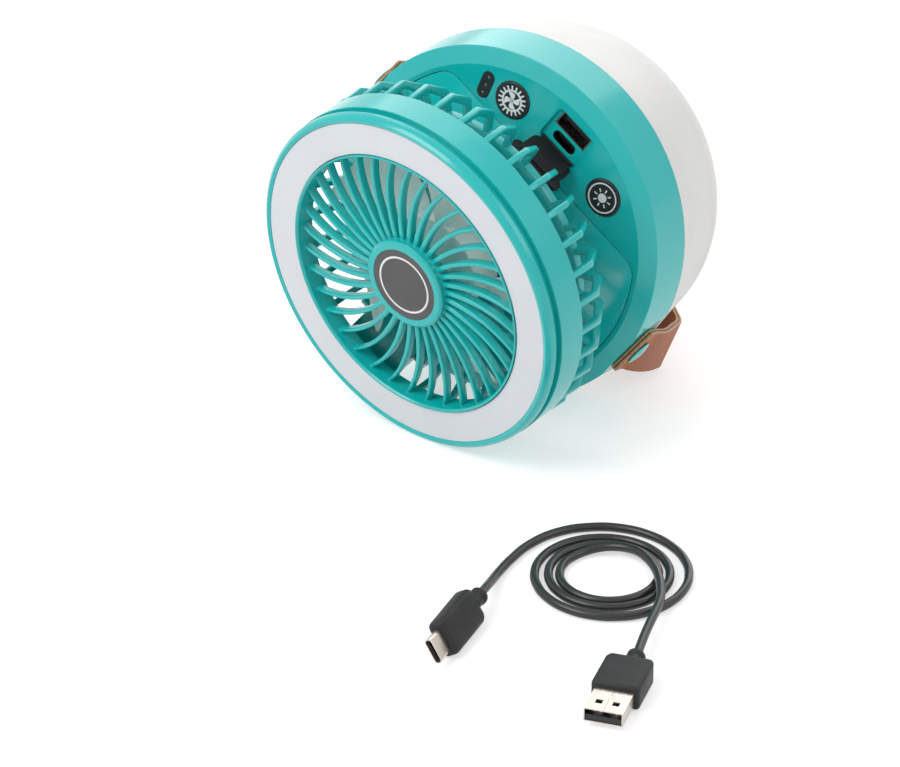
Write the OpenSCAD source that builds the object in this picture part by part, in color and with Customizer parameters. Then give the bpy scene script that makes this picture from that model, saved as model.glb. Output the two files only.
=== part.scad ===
// Folding camping lantern with a tilting ring-light fan and its charging lead.
// Every lantern piece is drawn upright (face up, +Y towards the controls) and then laid down
// by place_lantern(). Fan-head pieces are drawn shut on the face and opened by place_head().

/* [Lantern body] */
// Radius of the body at the dome seam
band_r = 61.8; // [58:0.1:66]
// Step from the dome seam in to the foot of the front bevel
bevel_step = 0.8; // [0.4:0.1:2]
// Step from the dome seam in to the edge of the flat front face
face_step = 6.5; // [5:0.1:8]
// Depth of the front bevel
bevel_h = 2.3; // [1.5:0.1:4]
// Depth of the dome seam below the face
seam_depth = 19.2; // [17:0.1:24]
// Wall of the moulded housing
wall = 2.2; // [1.6:0.1:3]
// Depth of each flat that the strap is riveted to, in from the dome seam's radius
flat_step = 1.6; // [1.2:0.1:2.5]

/* [Lamp dome] */
// Depth of the dome behind the seam
dome_h = 45.7; // [35:0.5:60]
// Step from the body in to the dome, at the seam
dome_step = 1; // [0.6:0.1:2]
// Slope of the dome's side, sideways per length
dome_slope = 0.164; // [0.08:0.01:0.25]
// Radius of the rounded crown edge
crown_r = 18.3; // [10:0.1:24]
// Wall of the dome
dome_wall = 2; // [1.4:0.1:3]

/* [Controls] */
// Radius of a push button
button_r = 6.4; // [5:0.1:7]
// Half distance between the buttons
button_x = 21.75; // [19:0.05:24]
// Distance of the buttons in from the edge of the face
button_inset = 15.2; // [14:0.1:16]
// How far a button moves in
button_travel = 0.6; // [0.3:0.1:0.8]
// Width of the port recess
recess_w = 16.4; // [15:0.1:20]
// Height of the port recess
recess_h = 13.6; // [13:0.1:14.5]
// Width of the USB-A outlet's shell
usb_a_w = 13.1; // [12.6:0.1:13.5]
// Height of the USB-A outlet's shell
usb_a_h = 5.7; // [5.5:0.1:6]
// Angle of the port cover from shut
cover_open = 97; // [60:1:120]

/* [Fan head] */
// Step from the body in to the fan head's band
head_step = 1.2; // [0.6:0.1:3]
// Depth of the fan head from diffuser to the fins' back
head_depth = 34; // [32:0.5:38]
// Depth of the ring behind its front plane
ring_depth = 16.5; // [15:0.1:18]
// Width of the band outside the light ring
rim_w = 3.1; // [2.7:0.1:4.6]
// Width of the light ring
diffuser_w = 10.7; // [8:0.1:13]
// Number of ribs in the front grille
rib_count = 38; // [24:1:42]
// Thickness of one rib
rib_t = 1.5; // [1:0.1:2]
// Sideways sweep of a rib from hub to ring, degrees
rib_sweep = 12; // [0:1:20]
// Outer radius of the grille's hub
hub_r = 15.7; // [14:0.1:18]
// Radius of the badge in the hub
badge_r = 12.7; // [9:0.1:13.2]
// Number of fin places round the back
fin_count = 36; // [24:1:40]
// Thickness of one fin
fin_t = 1.3; // [0.9:0.1:1.8]
// Distance of the back ring in from the fan head's band
back_ring_inset = 14.6; // [12:0.1:17]
// Number of spokes from the motor's seat to the back ring
spoke_count = 18; // [12:1:24]
// Number of blades on the impeller
blade_count = 5; // [3:1:7]
// Clearance from the impeller's tips out to the ring
blade_clear = 3; // [2.5:0.5:9]

/* [Hinge and pose] */
// Distance of the hinge axis in from the edge of the face
hinge_inset = 1.8; // [1.3:0.1:2.8]
// Height of the hinge axis above the face
hinge_z = 6.4; // [6:0.1:7]
// Gap between the shut fan head and the face
shut_gap = 0.8; // [0.6:0.1:1.5]
// Opening of the fan head from shut, as it stands
head_open = 13.6; // [11:0.1:16]
// Roll of the lantern about its own axis, as it lies
lie_roll = -35.4; // [-45:0.5:-25]
// Heading of the lantern, as it lies
lie_yaw = -32.3; // [-60:0.5:0]

/* [Strap] */
// Width of the strap
strap_w = 19; // [14:0.5:22]
// Thickness of the strap, two plies
strap_t = 2.4; // [1.6:0.1:3]
// Distance from the rivets to the strap's back run
strap_l = 74; // [70:0.5:90]
// Radius of a rivet's head
rivet_r = 4.6; // [3.5:0.1:6]

/* [Charging lead] */
// Diameter of the cable
cable_d = 2.9; // [2.4:0.1:3.2]
// Length of the USB-A plug's overmould
plug_a_l = 18.3; // [15:0.1:22]
// Length of the USB-C plug's overmould
plug_c_l = 21.5; // [16:0.1:24]

/* [Hidden] */

$fn = 72;
eps = 0.01;
seat_gap = 0.1;
far = 200;

// Radii that follow from the steps
bevel_r = band_r - bevel_step;
face_r = band_r - face_step;
flat_x = band_r - flat_step;
dome_r = band_r - dome_step;
head_r = band_r - head_step;
button_y = face_r - button_inset;
hinge_y = face_r - hinge_inset;
diffuser_ro = head_r - rim_w;
diffuser_ri = diffuser_ro - diffuser_w;
back_ring_r = head_r - back_ring_inset;

teal = [0.10, 0.68, 0.66];
deep_teal = [0.07, 0.60, 0.58];
frost = [0.93, 0.93, 0.92];
black = [0.08, 0.08, 0.09];
steel = [0.78, 0.78, 0.80];

// ---- how the object lies -------------------------------------------------------------------
// It rests on the front rim of the fan head and on the edge of the band, both at height 0. The
// lie angle that brings both down together is found by halving.
rim_r = head_r - 0.3;
rim_back = 2;
rim_z = shut_gap + head_depth - rim_back;
rim_y_open = -hinge_y + hinge_y * cos(head_open) - (rim_z - hinge_z) * sin(head_open);
rim_z_open = hinge_z + hinge_y * sin(head_open) + (rim_z - hinge_z) * cos(head_open);
function face_height(a) = seam_depth * sin(a) + band_r * cos(a);
function rim_slant(a) = sin(a) * cos(head_open) - cos(lie_roll) * cos(a) * sin(head_open);
function rim_clear(a) = face_height(a) + cos(lie_roll) * cos(a) * rim_y_open + sin(a) * rim_z_open
    - rim_r * sqrt(1 - pow(rim_slant(a), 2));
function halve(lo, hi, left) = left == 0 ? (lo + hi) / 2
    : rim_clear((lo + hi) / 2) > 0 ? halve(lo, (lo + hi) / 2, left - 1)
    : halve((lo + hi) / 2, hi, left - 1);
lie_tilt = halve(-30, 40, 40);

// Middle of the face over the floor, so that the origin is under the middle of the whole fan.
face_at = [-1.2, -12.6];

// The strap hangs back from its rivets until the lower edge of its corner is on the floor.
rivet_z = -11.5;
strap_corner_r = 9;
strap_corner_x = flat_x - 10.2;
function rise_x() = sin(lie_roll) * cos(lie_tilt);
function rise_y() = cos(lie_roll) * cos(lie_tilt);
function rise_z() = sin(lie_tilt);
function rise_along(w) = -rise_y() * sin(w) - rise_z() * cos(w);
function rise_across(w) = rise_y() * cos(w) - rise_z() * sin(w);
function strap_low(w) = face_height(lie_tilt) + rise_z() * rivet_z + rise_x() * strap_corner_x
    + rise_along(w) * (strap_l - strap_corner_r) - abs(rise_across(w)) * strap_w / 2
    - (strap_corner_r + strap_t / 2) * norm([rise_x(), rise_along(w)]);
function droop(lo, hi, left) = left == 0 ? (lo + hi) / 2
    : strap_low((lo + hi) / 2) > 0 ? droop((lo + hi) / 2, hi, left - 1)
    : droop(lo, (lo + hi) / 2, left - 1);
strap_drop = droop(0, 45, 30);

module place_lantern() {
    translate([face_at[0], face_at[1], face_height(lie_tilt)])
        rotate([0, 0, lie_yaw])
        rotate([90 - lie_tilt, 0, 0])
        rotate([0, 0, lie_roll])
        children();
}

// Fan-head pieces: height 0 is the back of the fins.
module place_head() {
    place_lantern()
        translate([0, -hinge_y, hinge_z])
        rotate([head_open, 0, 0])
        translate([0, hinge_y, shut_gap - hinge_z])
        children();
}

// ---- shared shapes ---------------------------------------------------------------------------
module tube(ro, ri, z0, z1) {
    rotate_extrude($fn = 144)
        translate([ri, z0])
        square([ro - ri, z1 - z0]);
}

module rounded_bar(w, h, r) {
    square([w - 2 * r, h], center = true);
    square([w, h - 2 * r], center = true);
    for (x = [-1, 1], y = [-1, 1])
        translate([x * (w / 2 - r), y * (h / 2 - r)])
            circle(r = r, $fn = 24);
}

// Upright block with rounded corners, from height z0 to z1
module rounded_block(w, h, r, z0, z1) {
    translate([0, 0, z0])
        linear_extrude(z1 - z0)
        rounded_bar(w, h, r);
}

// ---- lantern body ----------------------------------------------------------------------------
insert_t = 1.4;
insert_gap = 0.25;
insert_step = 1.8;
insert_r = face_r - insert_step;
insert_clear = 3.7;
insert_top = button_y - button_r - insert_clear;
insert_corner = 7;
recess_inset = 10;
recess_y = face_r - recess_inset;
recess_d = 1;
recess_corner = 2;
port_gap = 0.15;
usb_a_up = 3.55;
usb_c_down = 2.4;
usb_a_y = recess_y + usb_a_up;
usb_c_y = recess_y - usb_c_down;
usb_c_w = 9.2;
usb_c_h = 3.4;
button_gap = 0.15;
pill_out = 10.25;
pill_down = 3.6;
pill_at = [-button_x - pill_out, button_y - pill_down];
pill_turn = 14;
pill_w = 4.6;
pill_l = 10;
rivet_hole_r = 1.7;

// Outline of the insert: a disc cut off by a chord with rounded ends, and notched for the hinge
module insert_outline(grow) {
    corner_y = insert_top - insert_corner;
    corner_x = sqrt(pow(insert_r - insert_corner, 2) - pow(corner_y, 2));
    difference() {
        union() {
            intersection() {
                circle(r = insert_r + grow, $fn = 144);
                polygon([[0, 0], far * [corner_x, corner_y], [far * corner_x, -far], [-far * corner_x, -far],
                    far * [-corner_x, corner_y]]);
            }
            translate([-corner_x, 0])
                square([2 * corner_x, insert_top + grow]);
            for (side = [-1, 1])
                translate([side * corner_x, corner_y])
                    circle(r = insert_corner + grow, $fn = 48);
        }
        translate([-notch_half + grow, -far])
            square([2 * (notch_half - grow), far - hinge_y + barrel_r + 0.6 - grow]);
    }
}

// The flats at both sides, where the strap lies against the body
module strap_flats() {
    for (side = [-1, 1])
        translate([side * (flat_x + far / 2), 0, -far / 2])
            cube([far, band_r, far], center = true);
}

module housing_outer() {
    rotate_extrude($fn = 144)
        polygon([[0, 0], [face_r, 0], [bevel_r, -bevel_h], [band_r, -seam_depth], [0, -seam_depth]]);
}

module housing_inner() {
    rotate_extrude($fn = 144)
        polygon([[0, -wall - insert_t], [face_r - wall, -wall - insert_t], [bevel_r - wall, -bevel_h - wall - insert_t],
            [band_r - wall, -seam_depth - eps], [0, -seam_depth - eps]]);
}

module lantern_housing() {
    color(teal)
        place_lantern() {
        difference() {
            housing_outer();
            housing_inner();
            translate([0, 0, -insert_t])
                linear_extrude(far)
                insert_outline(insert_gap);
            translate([0, recess_y, 0])
                rounded_block(recess_w, recess_h, recess_corner, -recess_d, 1);
            translate([0, usb_a_y, -far / 2])
                cube([usb_a_w + 2 * port_gap, usb_a_h + 2 * port_gap, far], center = true);
            translate([0, usb_c_y, 0])
                rounded_block(usb_c_w + 2 * port_gap, usb_c_h + 2 * port_gap, usb_c_h / 2, -far / 2, 1);
            for (x = [-1, 1])
                translate([x * button_x, button_y, -far / 2])
                    cylinder(r = button_r + button_gap, h = far);
            translate([pill_at[0], pill_at[1], 0])
                rotate([0, 0, pill_turn])
                rounded_block(pill_w, pill_l, pill_w / 2 - eps, -0.8, 1);
            strap_flats();
            for (side = [-1, 1])
                translate([side * flat_x, 0, rivet_z])
                    rotate([0, 90, 0])
                    cylinder(r = rivet_hole_r, h = 4 * wall, center = true);
        }
        hinge_ears();
    }
}

module face_insert() {
    color(deep_teal)
        place_lantern()
        translate([0, 0, -insert_t])
        linear_extrude(insert_t)
        insert_outline(0);
}

// Profile points of the dome, grown inwards by t: straight side, round crown, flat end
function dome_side(t) = dome_r - t;
function crown_start(t) = dome_side(t) - dome_slope * (dome_h - crown_r);
function dome_arc(t) = [for (a = [0 : 9 : 90])
    [crown_start(t) - (crown_r - t) + (crown_r - t) * cos(a),
     -seam_depth - (dome_h - crown_r) - (crown_r - t) * sin(a)]];

module dome_solid(t) {
    rotate_extrude($fn = 144)
        polygon(concat([[0, -seam_depth], [dome_side(t), -seam_depth]], dome_arc(t),
            [[0, -seam_depth - dome_h + t]]));
}

module lamp_dome() {
    color(frost)
        place_lantern()
        difference() {
            dome_solid(0);
            translate([0, 0, eps])
                dome_solid(dome_wall);
            strap_flats();
        }
}

reflector_t = 1.6;
reflector_r = band_r - wall - 0.3;
led_board_margin = 25.3;
led_board_r = reflector_r - led_board_margin;
led_board_t = 1.6;
lamp_led_count = 12;
lamp_led_inset = 8;
lamp_led_r = led_board_r - lamp_led_inset;
led_size = 3.5;
led_h = 0.8;

// White plate that closes the back of the housing and carries the lamp board
module lamp_reflector() {
    color(frost)
        place_lantern()
        translate([0, 0, -seam_depth])
        cylinder(r = reflector_r, h = reflector_t);
}

module lamp_led_board() {
    color("white")
        place_lantern()
        translate([0, 0, -seam_depth - led_board_t])
        cylinder(r = led_board_r, h = led_board_t);
}

module lamp_leds() {
    color([0.95, 0.85, 0.3])
        place_lantern()
        for (i = [0 : lamp_led_count - 1])
            rotate([0, 0, i * 360 / lamp_led_count])
                translate([lamp_led_r, 0, -seam_depth - led_board_t - led_h / 2])
                    cube([led_size, led_size, led_h], center = true);
}

// Two flat lithium cells side by side on the reflector plate, on the side that lies lowest
cell_end_gap = 9.3;
cell_l = reflector_r - cell_end_gap;
cell_w = 26;
cell_t = 8;
cell_gap = 2;
cell_side_gap = 37.3;
cell_x = reflector_r - cell_side_gap;
cell_y = -8;
cradle_t = 1.5;
cell_floor = -seam_depth + reflector_t;

module battery_cells() {
    color([0.25, 0.45, 0.75])
        place_lantern()
        translate([cell_x, cell_y, cell_floor + cradle_t])
        for (i = [0, 1])
            translate([(i - 0.5) * (cell_w + cell_gap), 0, 0])
                rounded_block(cell_w, cell_l, 3, 0, cell_t);
}

module battery_cradle() {
    color("gainsboro")
        place_lantern()
        translate([cell_x, cell_y, cell_floor])
        rounded_block(2 * cell_w + cell_gap, cell_l, 3, 0, cradle_t);
}

board_t = 1.6;
board_top = -12.8;
board_margin = 7.25;
board_w = 2 * (button_x + board_margin);
board_y0 = button_y - 9.1;
board_y1 = button_y + 9.9;
post_r = 2;
post_inset = 4;
post_up = 3;
stem_r = 2.2;
switch_gap = 0.1;
stem_end = -8.2;
switch_size = 6;

// Control board with a push switch under each button
module control_board() {
    color([0.1, 0.35, 0.2])
        place_lantern() {
            translate([-board_w / 2, board_y0, board_top - board_t])
                cube([board_w, board_y1 - board_y0, board_t]);
            for (x = [-1, 1]) {
                translate([x * button_x - switch_size / 2, button_y - switch_size / 2, board_top])
                    cube([switch_size, switch_size, stem_end - button_travel - switch_gap - board_top]);
                translate([x * (board_w / 2 - post_inset), board_y0 + post_up, cell_floor])
                    cylinder(r = post_r, h = board_top - board_t - cell_floor);
            }
        }
}

port_wall = 0.35;
tongue_h = 1.9;

module usb_a_port() {
    color(steel)
        place_lantern()
        translate([0, usb_a_y, 0]) {
            difference() {
                translate([0, 0, (board_top - recess_d) / 2])
                    cube([usb_a_w, usb_a_h, -recess_d - board_top], center = true);
                translate([0, 0, board_top / 2 + 1.2])
                    cube([usb_a_w - 2 * port_wall, usb_a_h - 2 * port_wall, -board_top], center = true);
            }
            translate([0, 0.9, (board_top - 3) / 2])
                cube([usb_a_w - 2.2, tongue_h, -board_top - 3], center = true);
        }
}

module usb_c_port() {
    color(steel)
        place_lantern()
        translate([0, usb_c_y, 0]) {
            difference() {
                rounded_block(usb_c_w, usb_c_h, usb_c_h / 2 - eps, board_top, -recess_d);
                rounded_block(usb_c_w - 2 * port_wall, usb_c_h - 2 * port_wall, usb_c_h / 2 - port_wall - eps,
                    board_top + 1.5, 1);
            }
            translate([0, 0, (board_top - 2.4) / 2])
                cube([usb_c_w - 2.6, 0.7, -board_top - 2.4], center = true);
        }
}

module charge_indicator() {
    color(black)
        place_lantern()
        translate([pill_at[0], pill_at[1], 0])
        rotate([0, 0, pill_turn])
        difference() {
            rounded_block(pill_w - 0.2, pill_l - 0.2, pill_w / 2 - 0.1 - eps, -0.8, 0.15);
            for (i = [-1 : 1])
                translate([0, i * 3, 0])
                    cylinder(r = 0.75, h = 1, $fn = 24);
        }
}

// Push button: cap, retaining collar under the face and a stem down to its switch
button_proud = 0.5;
collar_top = -wall - insert_t - 0.1;
collar_t = 1;
cap_edge = 0.3;

module push_button(side) {
    color(black)
        place_lantern()
        translate([side * button_x, button_y, 0]) {
            translate([0, 0, collar_top])
                cylinder(r = button_r, h = button_proud - cap_edge - collar_top);
            translate([0, 0, button_proud - cap_edge])
                cylinder(r1 = button_r, r2 = button_r - cap_edge, h = cap_edge);
            translate([0, 0, collar_top - collar_t])
                cylinder(r = button_r + 0.9, h = collar_t);
            translate([0, 0, stem_end])
                cylinder(r = stem_r, h = collar_top - stem_end);
        }
}

module fan_button() {
    push_button(-1);
}

module light_button() {
    push_button(1);
}

// Rubber cover of the port recess: pin in the recess, web, plate with two finger ears, and a
// plug for the outlet. Drawn shut over the recess and turned open about its pin.
cover_t = 1.9;
cover_pin_r = 0.5;
cover_pin_y = recess_y - recess_h / 2 + 1;
cover_pin_z = -recess_d + cover_pin_r + seat_gap;
cover_lift = seat_gap / 2 - cover_pin_z;
cover_w = recess_w + 0.6;
cover_pin_w = recess_w - recess_corner;
cover_web_w = recess_w - 3;
cover_web_t = 0.85;
cover_root = 0.95;
cover_web_l = 1.6;
cover_l = 12.4;
ear_r = 2.3;
nub_w = usb_a_w - 2;
nub_h = usb_a_h - 2;
nub_z = -recess_d - 0.8 - cover_pin_z;

module port_cover() {
    color(black)
        place_lantern()
        translate([0, cover_pin_y, cover_pin_z])
        rotate([cover_open, 0, 0]) {
            rotate([0, 90, 0])
                cylinder(r = cover_pin_r, h = cover_pin_w, center = true, $fn = 24);
            translate([-cover_web_w / 2, 0, 0])
                cube([cover_web_w, cover_web_l, cover_web_t]);
            translate([0, cover_root + cover_l / 2, 0])
                rounded_block(cover_w, cover_l, 1.6, cover_lift, cover_lift + cover_t);
            translate([0, cover_root + cover_l - ear_r, 0])
                rounded_block(2 * (cover_w / 2 + ear_r), 2 * ear_r, ear_r - eps, cover_lift, cover_lift + cover_t);
            translate([0, usb_a_y - cover_pin_y, 0])
                rounded_block(nub_w, nub_h, 0.8, nub_z, cover_lift + cover_t / 2);
        }
}

// Rivets through the strap's ends and the housing wall, with a washer inside
rivet_head_t = 1.1;
rivet_dome_r = 14;
washer_t = 0.8;
washer_x = bevel_r - wall - washer_t - 0.3;

module strap_rivets() {
    color(teal)
        place_lantern()
        for (side = [-1, 1])
            translate([0, 0, rivet_z])
                rotate([0, side * 90, 0]) {
                    translate([0, 0, flat_x + strap_t + 3 * seat_gap])
                        intersection() {
                            cylinder(r = rivet_r, h = rivet_head_t);
                            translate([0, 0, rivet_head_t - rivet_dome_r])
                                sphere(r = rivet_dome_r, $fn = 96);
                        }
                    translate([0, 0, washer_x])
                        cylinder(r = rivet_hole_r - 0.05, h = flat_x + strap_t + 4 * seat_gap - washer_x);
                    translate([0, 0, washer_x])
                        cylinder(r = rivet_r - 1, h = washer_t);
                }
}

// ---- strap: a leather band from rivet to rivet round the back of the dome -----------------------
// Middle line of one half, as [sideways, along] from the rivet's foot on the flat
strap_seat = flat_x + seat_gap + strap_t / 2;
strap_points = [[strap_seat, -9], [strap_seat, 4], [strap_seat + 0.9, 8.5], [strap_seat + 2.4, 15],
    [strap_seat + 3.6, 25], [strap_seat + 3.8, 36], [strap_seat + 2.5, 47], [strap_seat - 0.2, 57]];
strap_corner = [for (a = [15 : 12.5 : 90])
    [strap_corner_x + strap_corner_r * cos(a), strap_l - strap_corner_r + strap_corner_r * sin(a)]];
strap_line = concat(strap_points, strap_corner);

// Unit normal of the line at point i, to the outer side
function line_dir(p, i) = let(a = p[max(i - 1, 0)], b = p[min(i + 1, len(p) - 1)]) (b - a) / norm(b - a);
function side_point(p, i, d) = let(t = line_dir(p, i)) p[i] + d * [t[1], -t[0]];
function reverse(p) = [for (i = [len(p) - 1 : -1 : 0]) p[i]];

module strap_outline() {
    n = len(strap_line) - 1;
    right_out = [for (i = [0 : n]) side_point(strap_line, i, strap_t / 2)];
    right_in = [for (i = [0 : n]) side_point(strap_line, i, -strap_t / 2)];
    flip = [[-1, 0], [0, 1]];
    polygon(concat(right_out, [for (p = reverse(right_out)) flip * p],
        [for (p = right_in) flip * p], reverse(right_in)));
}

module carry_strap() {
    color([0.62, 0.40, 0.27])
        place_lantern()
        translate([0, 0, rivet_z])
        rotate([180 - strap_drop, 0, 0])
        rotate([90, 0, 0])
        difference() {
            translate([0, 0, -strap_w / 2])
                linear_extrude(strap_w)
                strap_outline();
            rotate([0, 90, 0])
                cylinder(r = rivet_hole_r + 0.05, h = far, center = true);
        }
}

// ---- hinge ---------------------------------------------------------------------------------------
barrel_r = 3.4;
pin_r = 1.5;
pin_gap = 0.05;
knuckle_half = 11;
ear_t = 4;
ear_gap = 0.3;
notch_half = knuckle_half + ear_gap + ear_t + 0.4;

// Two ears of the housing, with the pin held between them
module hinge_ears() {
    for (side = [-1, 1])
        translate([side * (knuckle_half + ear_gap + ear_t / 2), -hinge_y, hinge_z])
            rotate([0, 90, 0])
            difference() {
                union() {
                    cylinder(r = barrel_r, h = ear_t, center = true);
                    translate([(hinge_z + wall) / 2, 0, 0])
                        cube([hinge_z + wall, 2 * barrel_r, ear_t], center = true);
                }
                cylinder(r = pin_r, h = 2 * ear_t, center = true);
            }
}

module hinge_pin() {
    color(steel)
        place_lantern()
        translate([0, -hinge_y, hinge_z])
        rotate([0, 90, 0])
        cylinder(r = pin_r, h = 2 * (knuckle_half + ear_gap + ear_t) - 1, center = true);
}

// ---- fan head, height 0 at the back of the fins ---------------------------------------------------
front = head_depth;
band_front = front - 6;
band_back = front - ring_depth;
head_wall = 2.2;
lip_r = diffuser_ri - 1.3;
groove_r = head_r - 1.6;
channel_floor = front - 7.5;
floor_t = 1.5;
diffuser_t = 1.6;
fit_gap = 0.1;
rib_top = front - 1.2;
rib_h = 5;

// Four screws from behind join the back of the head to bosses under the channel
screw_r = 1.1;
screw_l = 7.5;
screw_head_r = 2.1;
screw_head_t = 1.2;
lug_r = 3.4;
lug_t = 3;
boss_r = 2.6;
screw_at = head_r - head_wall - 3;

module screw_places() {
    for (a = [45 : 90 : 315])
        rotate([0, 0, a])
            translate([screw_at, 0, 0])
            children();
}

// One rib, from the hub to the lip, bending sideways as it goes out
function rib_angle(s) = -rib_sweep * pow(s, 1.7);
function rib_reach(s) = hub_r - 0.6 + (lip_r + 0.65 - hub_r + 0.6) * s;
rib_steps = 8;
rib_line = [for (i = [0 : rib_steps]) let(s = i / rib_steps)
    rib_reach(s) * [cos(rib_angle(s)), sin(rib_angle(s))]];

module rib_outline() {
    polygon(concat([for (i = [0 : rib_steps]) side_point(rib_line, i, rib_t / 2)],
        reverse([for (i = [0 : rib_steps]) side_point(rib_line, i, -rib_t / 2)])));
}

// Bezel channel for the light ring, with the ribs and the hub of the grille in one moulding
module front_grille() {
    color(teal)
        place_head() {
            rotate_extrude($fn = 144)
                polygon([[diffuser_ro + fit_gap, front - 0.4], [rim_r - 1.5, front], [rim_r - 0.5, front - 0.7],
                    [rim_r, front - rim_back], [rim_r, front - 4.3], [groove_r, front - 4.6],
                    [groove_r, band_front], [head_r - head_wall - fit_gap, band_front],
                    [head_r - head_wall - fit_gap, channel_floor], [lip_r, channel_floor],
                    [lip_r, front - 0.6], [lip_r + 0.5, front], [diffuser_ri - fit_gap - 0.2, front],
                    [diffuser_ri - fit_gap, channel_floor + floor_t],
                    [diffuser_ro + fit_gap, channel_floor + floor_t]]);
            screw_places()
                difference() {
                    translate([0, 0, band_back + lug_t + seat_gap])
                        cylinder(r = boss_r, h = channel_floor + floor_t / 2 - band_back - lug_t - seat_gap);
                    translate([0, 0, band_back])
                        cylinder(r = screw_r + 0.05, h = screw_l + 0.2);
                }
            translate([0, 0, rib_top - rib_h])
                for (i = [0 : rib_count - 1])
                    rotate([0, 0, i * 360 / rib_count])
                        linear_extrude(rib_h)
                        rib_outline();
            rotate_extrude($fn = 96)
                polygon([[0, rib_top - rib_h - 1], [hub_r - 1, rib_top - rib_h - 1], [hub_r, rib_top - rib_h - 0.3],
                    [hub_r, rib_top + 0.3], [hub_r - 0.8, rib_top + 0.9], [badge_r + fit_gap, rib_top + 0.9],
                    [badge_r + fit_gap, rib_top - 0.4], [0, rib_top - 0.4]]);
        }
}

module ring_diffuser() {
    color("white")
        place_head()
        tube(diffuser_ro, diffuser_ri, front - 0.5 - diffuser_t, front - 0.5);
}

ring_board_t = 1.2;
ring_led_count = 24;

module ring_led_board() {
    color("white")
        place_head()
        tube(diffuser_ro - 0.4, diffuser_ri + 0.4, channel_floor + floor_t, channel_floor + floor_t + ring_board_t);
}

module ring_leds() {
    color([0.95, 0.85, 0.3])
        place_head()
        for (i = [0 : ring_led_count - 1])
            rotate([0, 0, i * 360 / ring_led_count])
                translate([(diffuser_ro + diffuser_ri) / 2, 0, channel_floor + floor_t + ring_board_t + led_h / 2])
                    cube([led_size, led_size, led_h], center = true);
}

module hub_badge() {
    color([0.28, 0.28, 0.30])
        place_head()
        translate([0, 0, rib_top - 0.4])
        cylinder(r = badge_r, h = 1.2);
}

// Back of the head: band, fins bent round the outside, back ring, spokes and the motor's seat
fin_out_r = head_r + 0.7;
fin_tip_inset = 5.6;
fin_tip_r = head_r - fin_tip_inset;
fin_shoulder = 8.2;
fin_leg = 4.6;
back_ring_w = 3.4;
back_ring_t = 3.2;
spoke_w = 2.2;
mid_ring_w = 2.2;
mid_ring_sink = 0.3;
seat_t = 2.4;
can_r = 15;
can_h = 13;
seat_wall = 4;
seat_r = can_r + seat_wall;
mid_ring_r = (seat_r + back_ring_r) / 2;
shaft_r = 1;
skipped = 18;
fin_root_r = head_r - head_wall + 0.7;

module fin() {
    rotate([90, 0, 0])
        translate([0, 0, -fin_t / 2])
        linear_extrude(fin_t)
        polygon([[fin_root_r, band_back + 1], [head_r - 0.4, band_back + 1], [head_r - 0.1, band_back - 0.2],
            [fin_out_r - 0.2, fin_shoulder + 0.6], [fin_out_r - 0.9, fin_shoulder - 0.6],
            [fin_tip_r + 0.6, 0.3], [fin_tip_r - 0.6, 0], [back_ring_r, 0], [back_ring_r, fin_leg],
            [fin_tip_r - 2.4, fin_leg], [fin_tip_r + 1.6, fin_shoulder + 1.4],
            [fin_root_r - 1.4, band_back - 0.2]]);
}

module hinge_knuckle() {
    axis_z = hinge_z - shut_gap;
    difference() {
        union() {
            translate([-knuckle_half, 0, 0])
                rotate([90, 0, 90])
                linear_extrude(2 * knuckle_half)
                polygon([[-head_r + 0.4, band_back + 1], [-fin_root_r, band_back + 1],
                    [-hinge_y + 4.4, axis_z + 4.2], [-back_ring_r, back_ring_t - 0.5], [-back_ring_r, 0.5],
                    [-hinge_y + 4, 0.5], [-hinge_y + 1, axis_z - 1], [-hinge_y - barrel_r + 0.5, axis_z + 0.6],
                    [-hinge_y - barrel_r - 2, axis_z + 2.6]]);
            translate([0, -hinge_y, axis_z])
                rotate([0, 90, 0])
                cylinder(r = barrel_r, h = 2 * knuckle_half, center = true);
        }
        translate([0, -hinge_y, axis_z])
            rotate([0, 90, 0])
            cylinder(r = pin_r + pin_gap, h = far, center = true);
    }
}

module rear_cage() {
    color(teal)
        place_head() {
            rotate_extrude($fn = 144)
                polygon([[head_r - head_wall, band_back], [head_r, band_back], [head_r - 0.2, band_front],
                    [head_r - head_wall, band_front]]);
            for (i = [0 : fin_count - 1])
                if (abs(i * 360 / fin_count - 270) > skipped)
                    rotate([0, 0, i * 360 / fin_count])
                        fin();
            tube(back_ring_r + back_ring_w / 2, back_ring_r - back_ring_w / 2, 0, back_ring_t);
            tube(mid_ring_r + mid_ring_w / 2, mid_ring_r - mid_ring_w / 2, mid_ring_sink, back_ring_t - mid_ring_sink);
            for (i = [0 : spoke_count - 1])
                rotate([0, 0, (i + 0.5) * 360 / spoke_count])
                    translate([seat_r - 1, -spoke_w / 2, 0])
                    cube([back_ring_r - seat_r + 0.6, spoke_w, back_ring_t]);
            difference() {
                cylinder(r = seat_r, h = seat_t + 3);
                translate([0, 0, seat_t])
                    cylinder(r = can_r + 0.1, h = can_h);
            }
            screw_places()
                translate([0, 0, band_back])
                difference() {
                    cylinder(r = lug_r, h = lug_t);
                    translate([0, 0, -eps])
                        cylinder(r = screw_r + 0.2, h = lug_t + 2 * eps);
                }
            hinge_knuckle();
        }
}

module motor_can() {
    color(steel)
        place_head()
        translate([0, 0, seat_t])
        difference() {
            cylinder(r = can_r, h = can_h);
            translate([0, 0, can_h - 4])
                cylinder(r = shaft_r + 0.05, h = 4 + eps);
        }
}

module cage_screws() {
    color(steel)
        place_head()
        screw_places() {
            translate([0, 0, band_back - screw_head_t])
                cylinder(r = screw_head_r, h = screw_head_t);
            translate([0, 0, band_back - eps])
                cylinder(r = screw_r, h = screw_l);
        }
}

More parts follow.
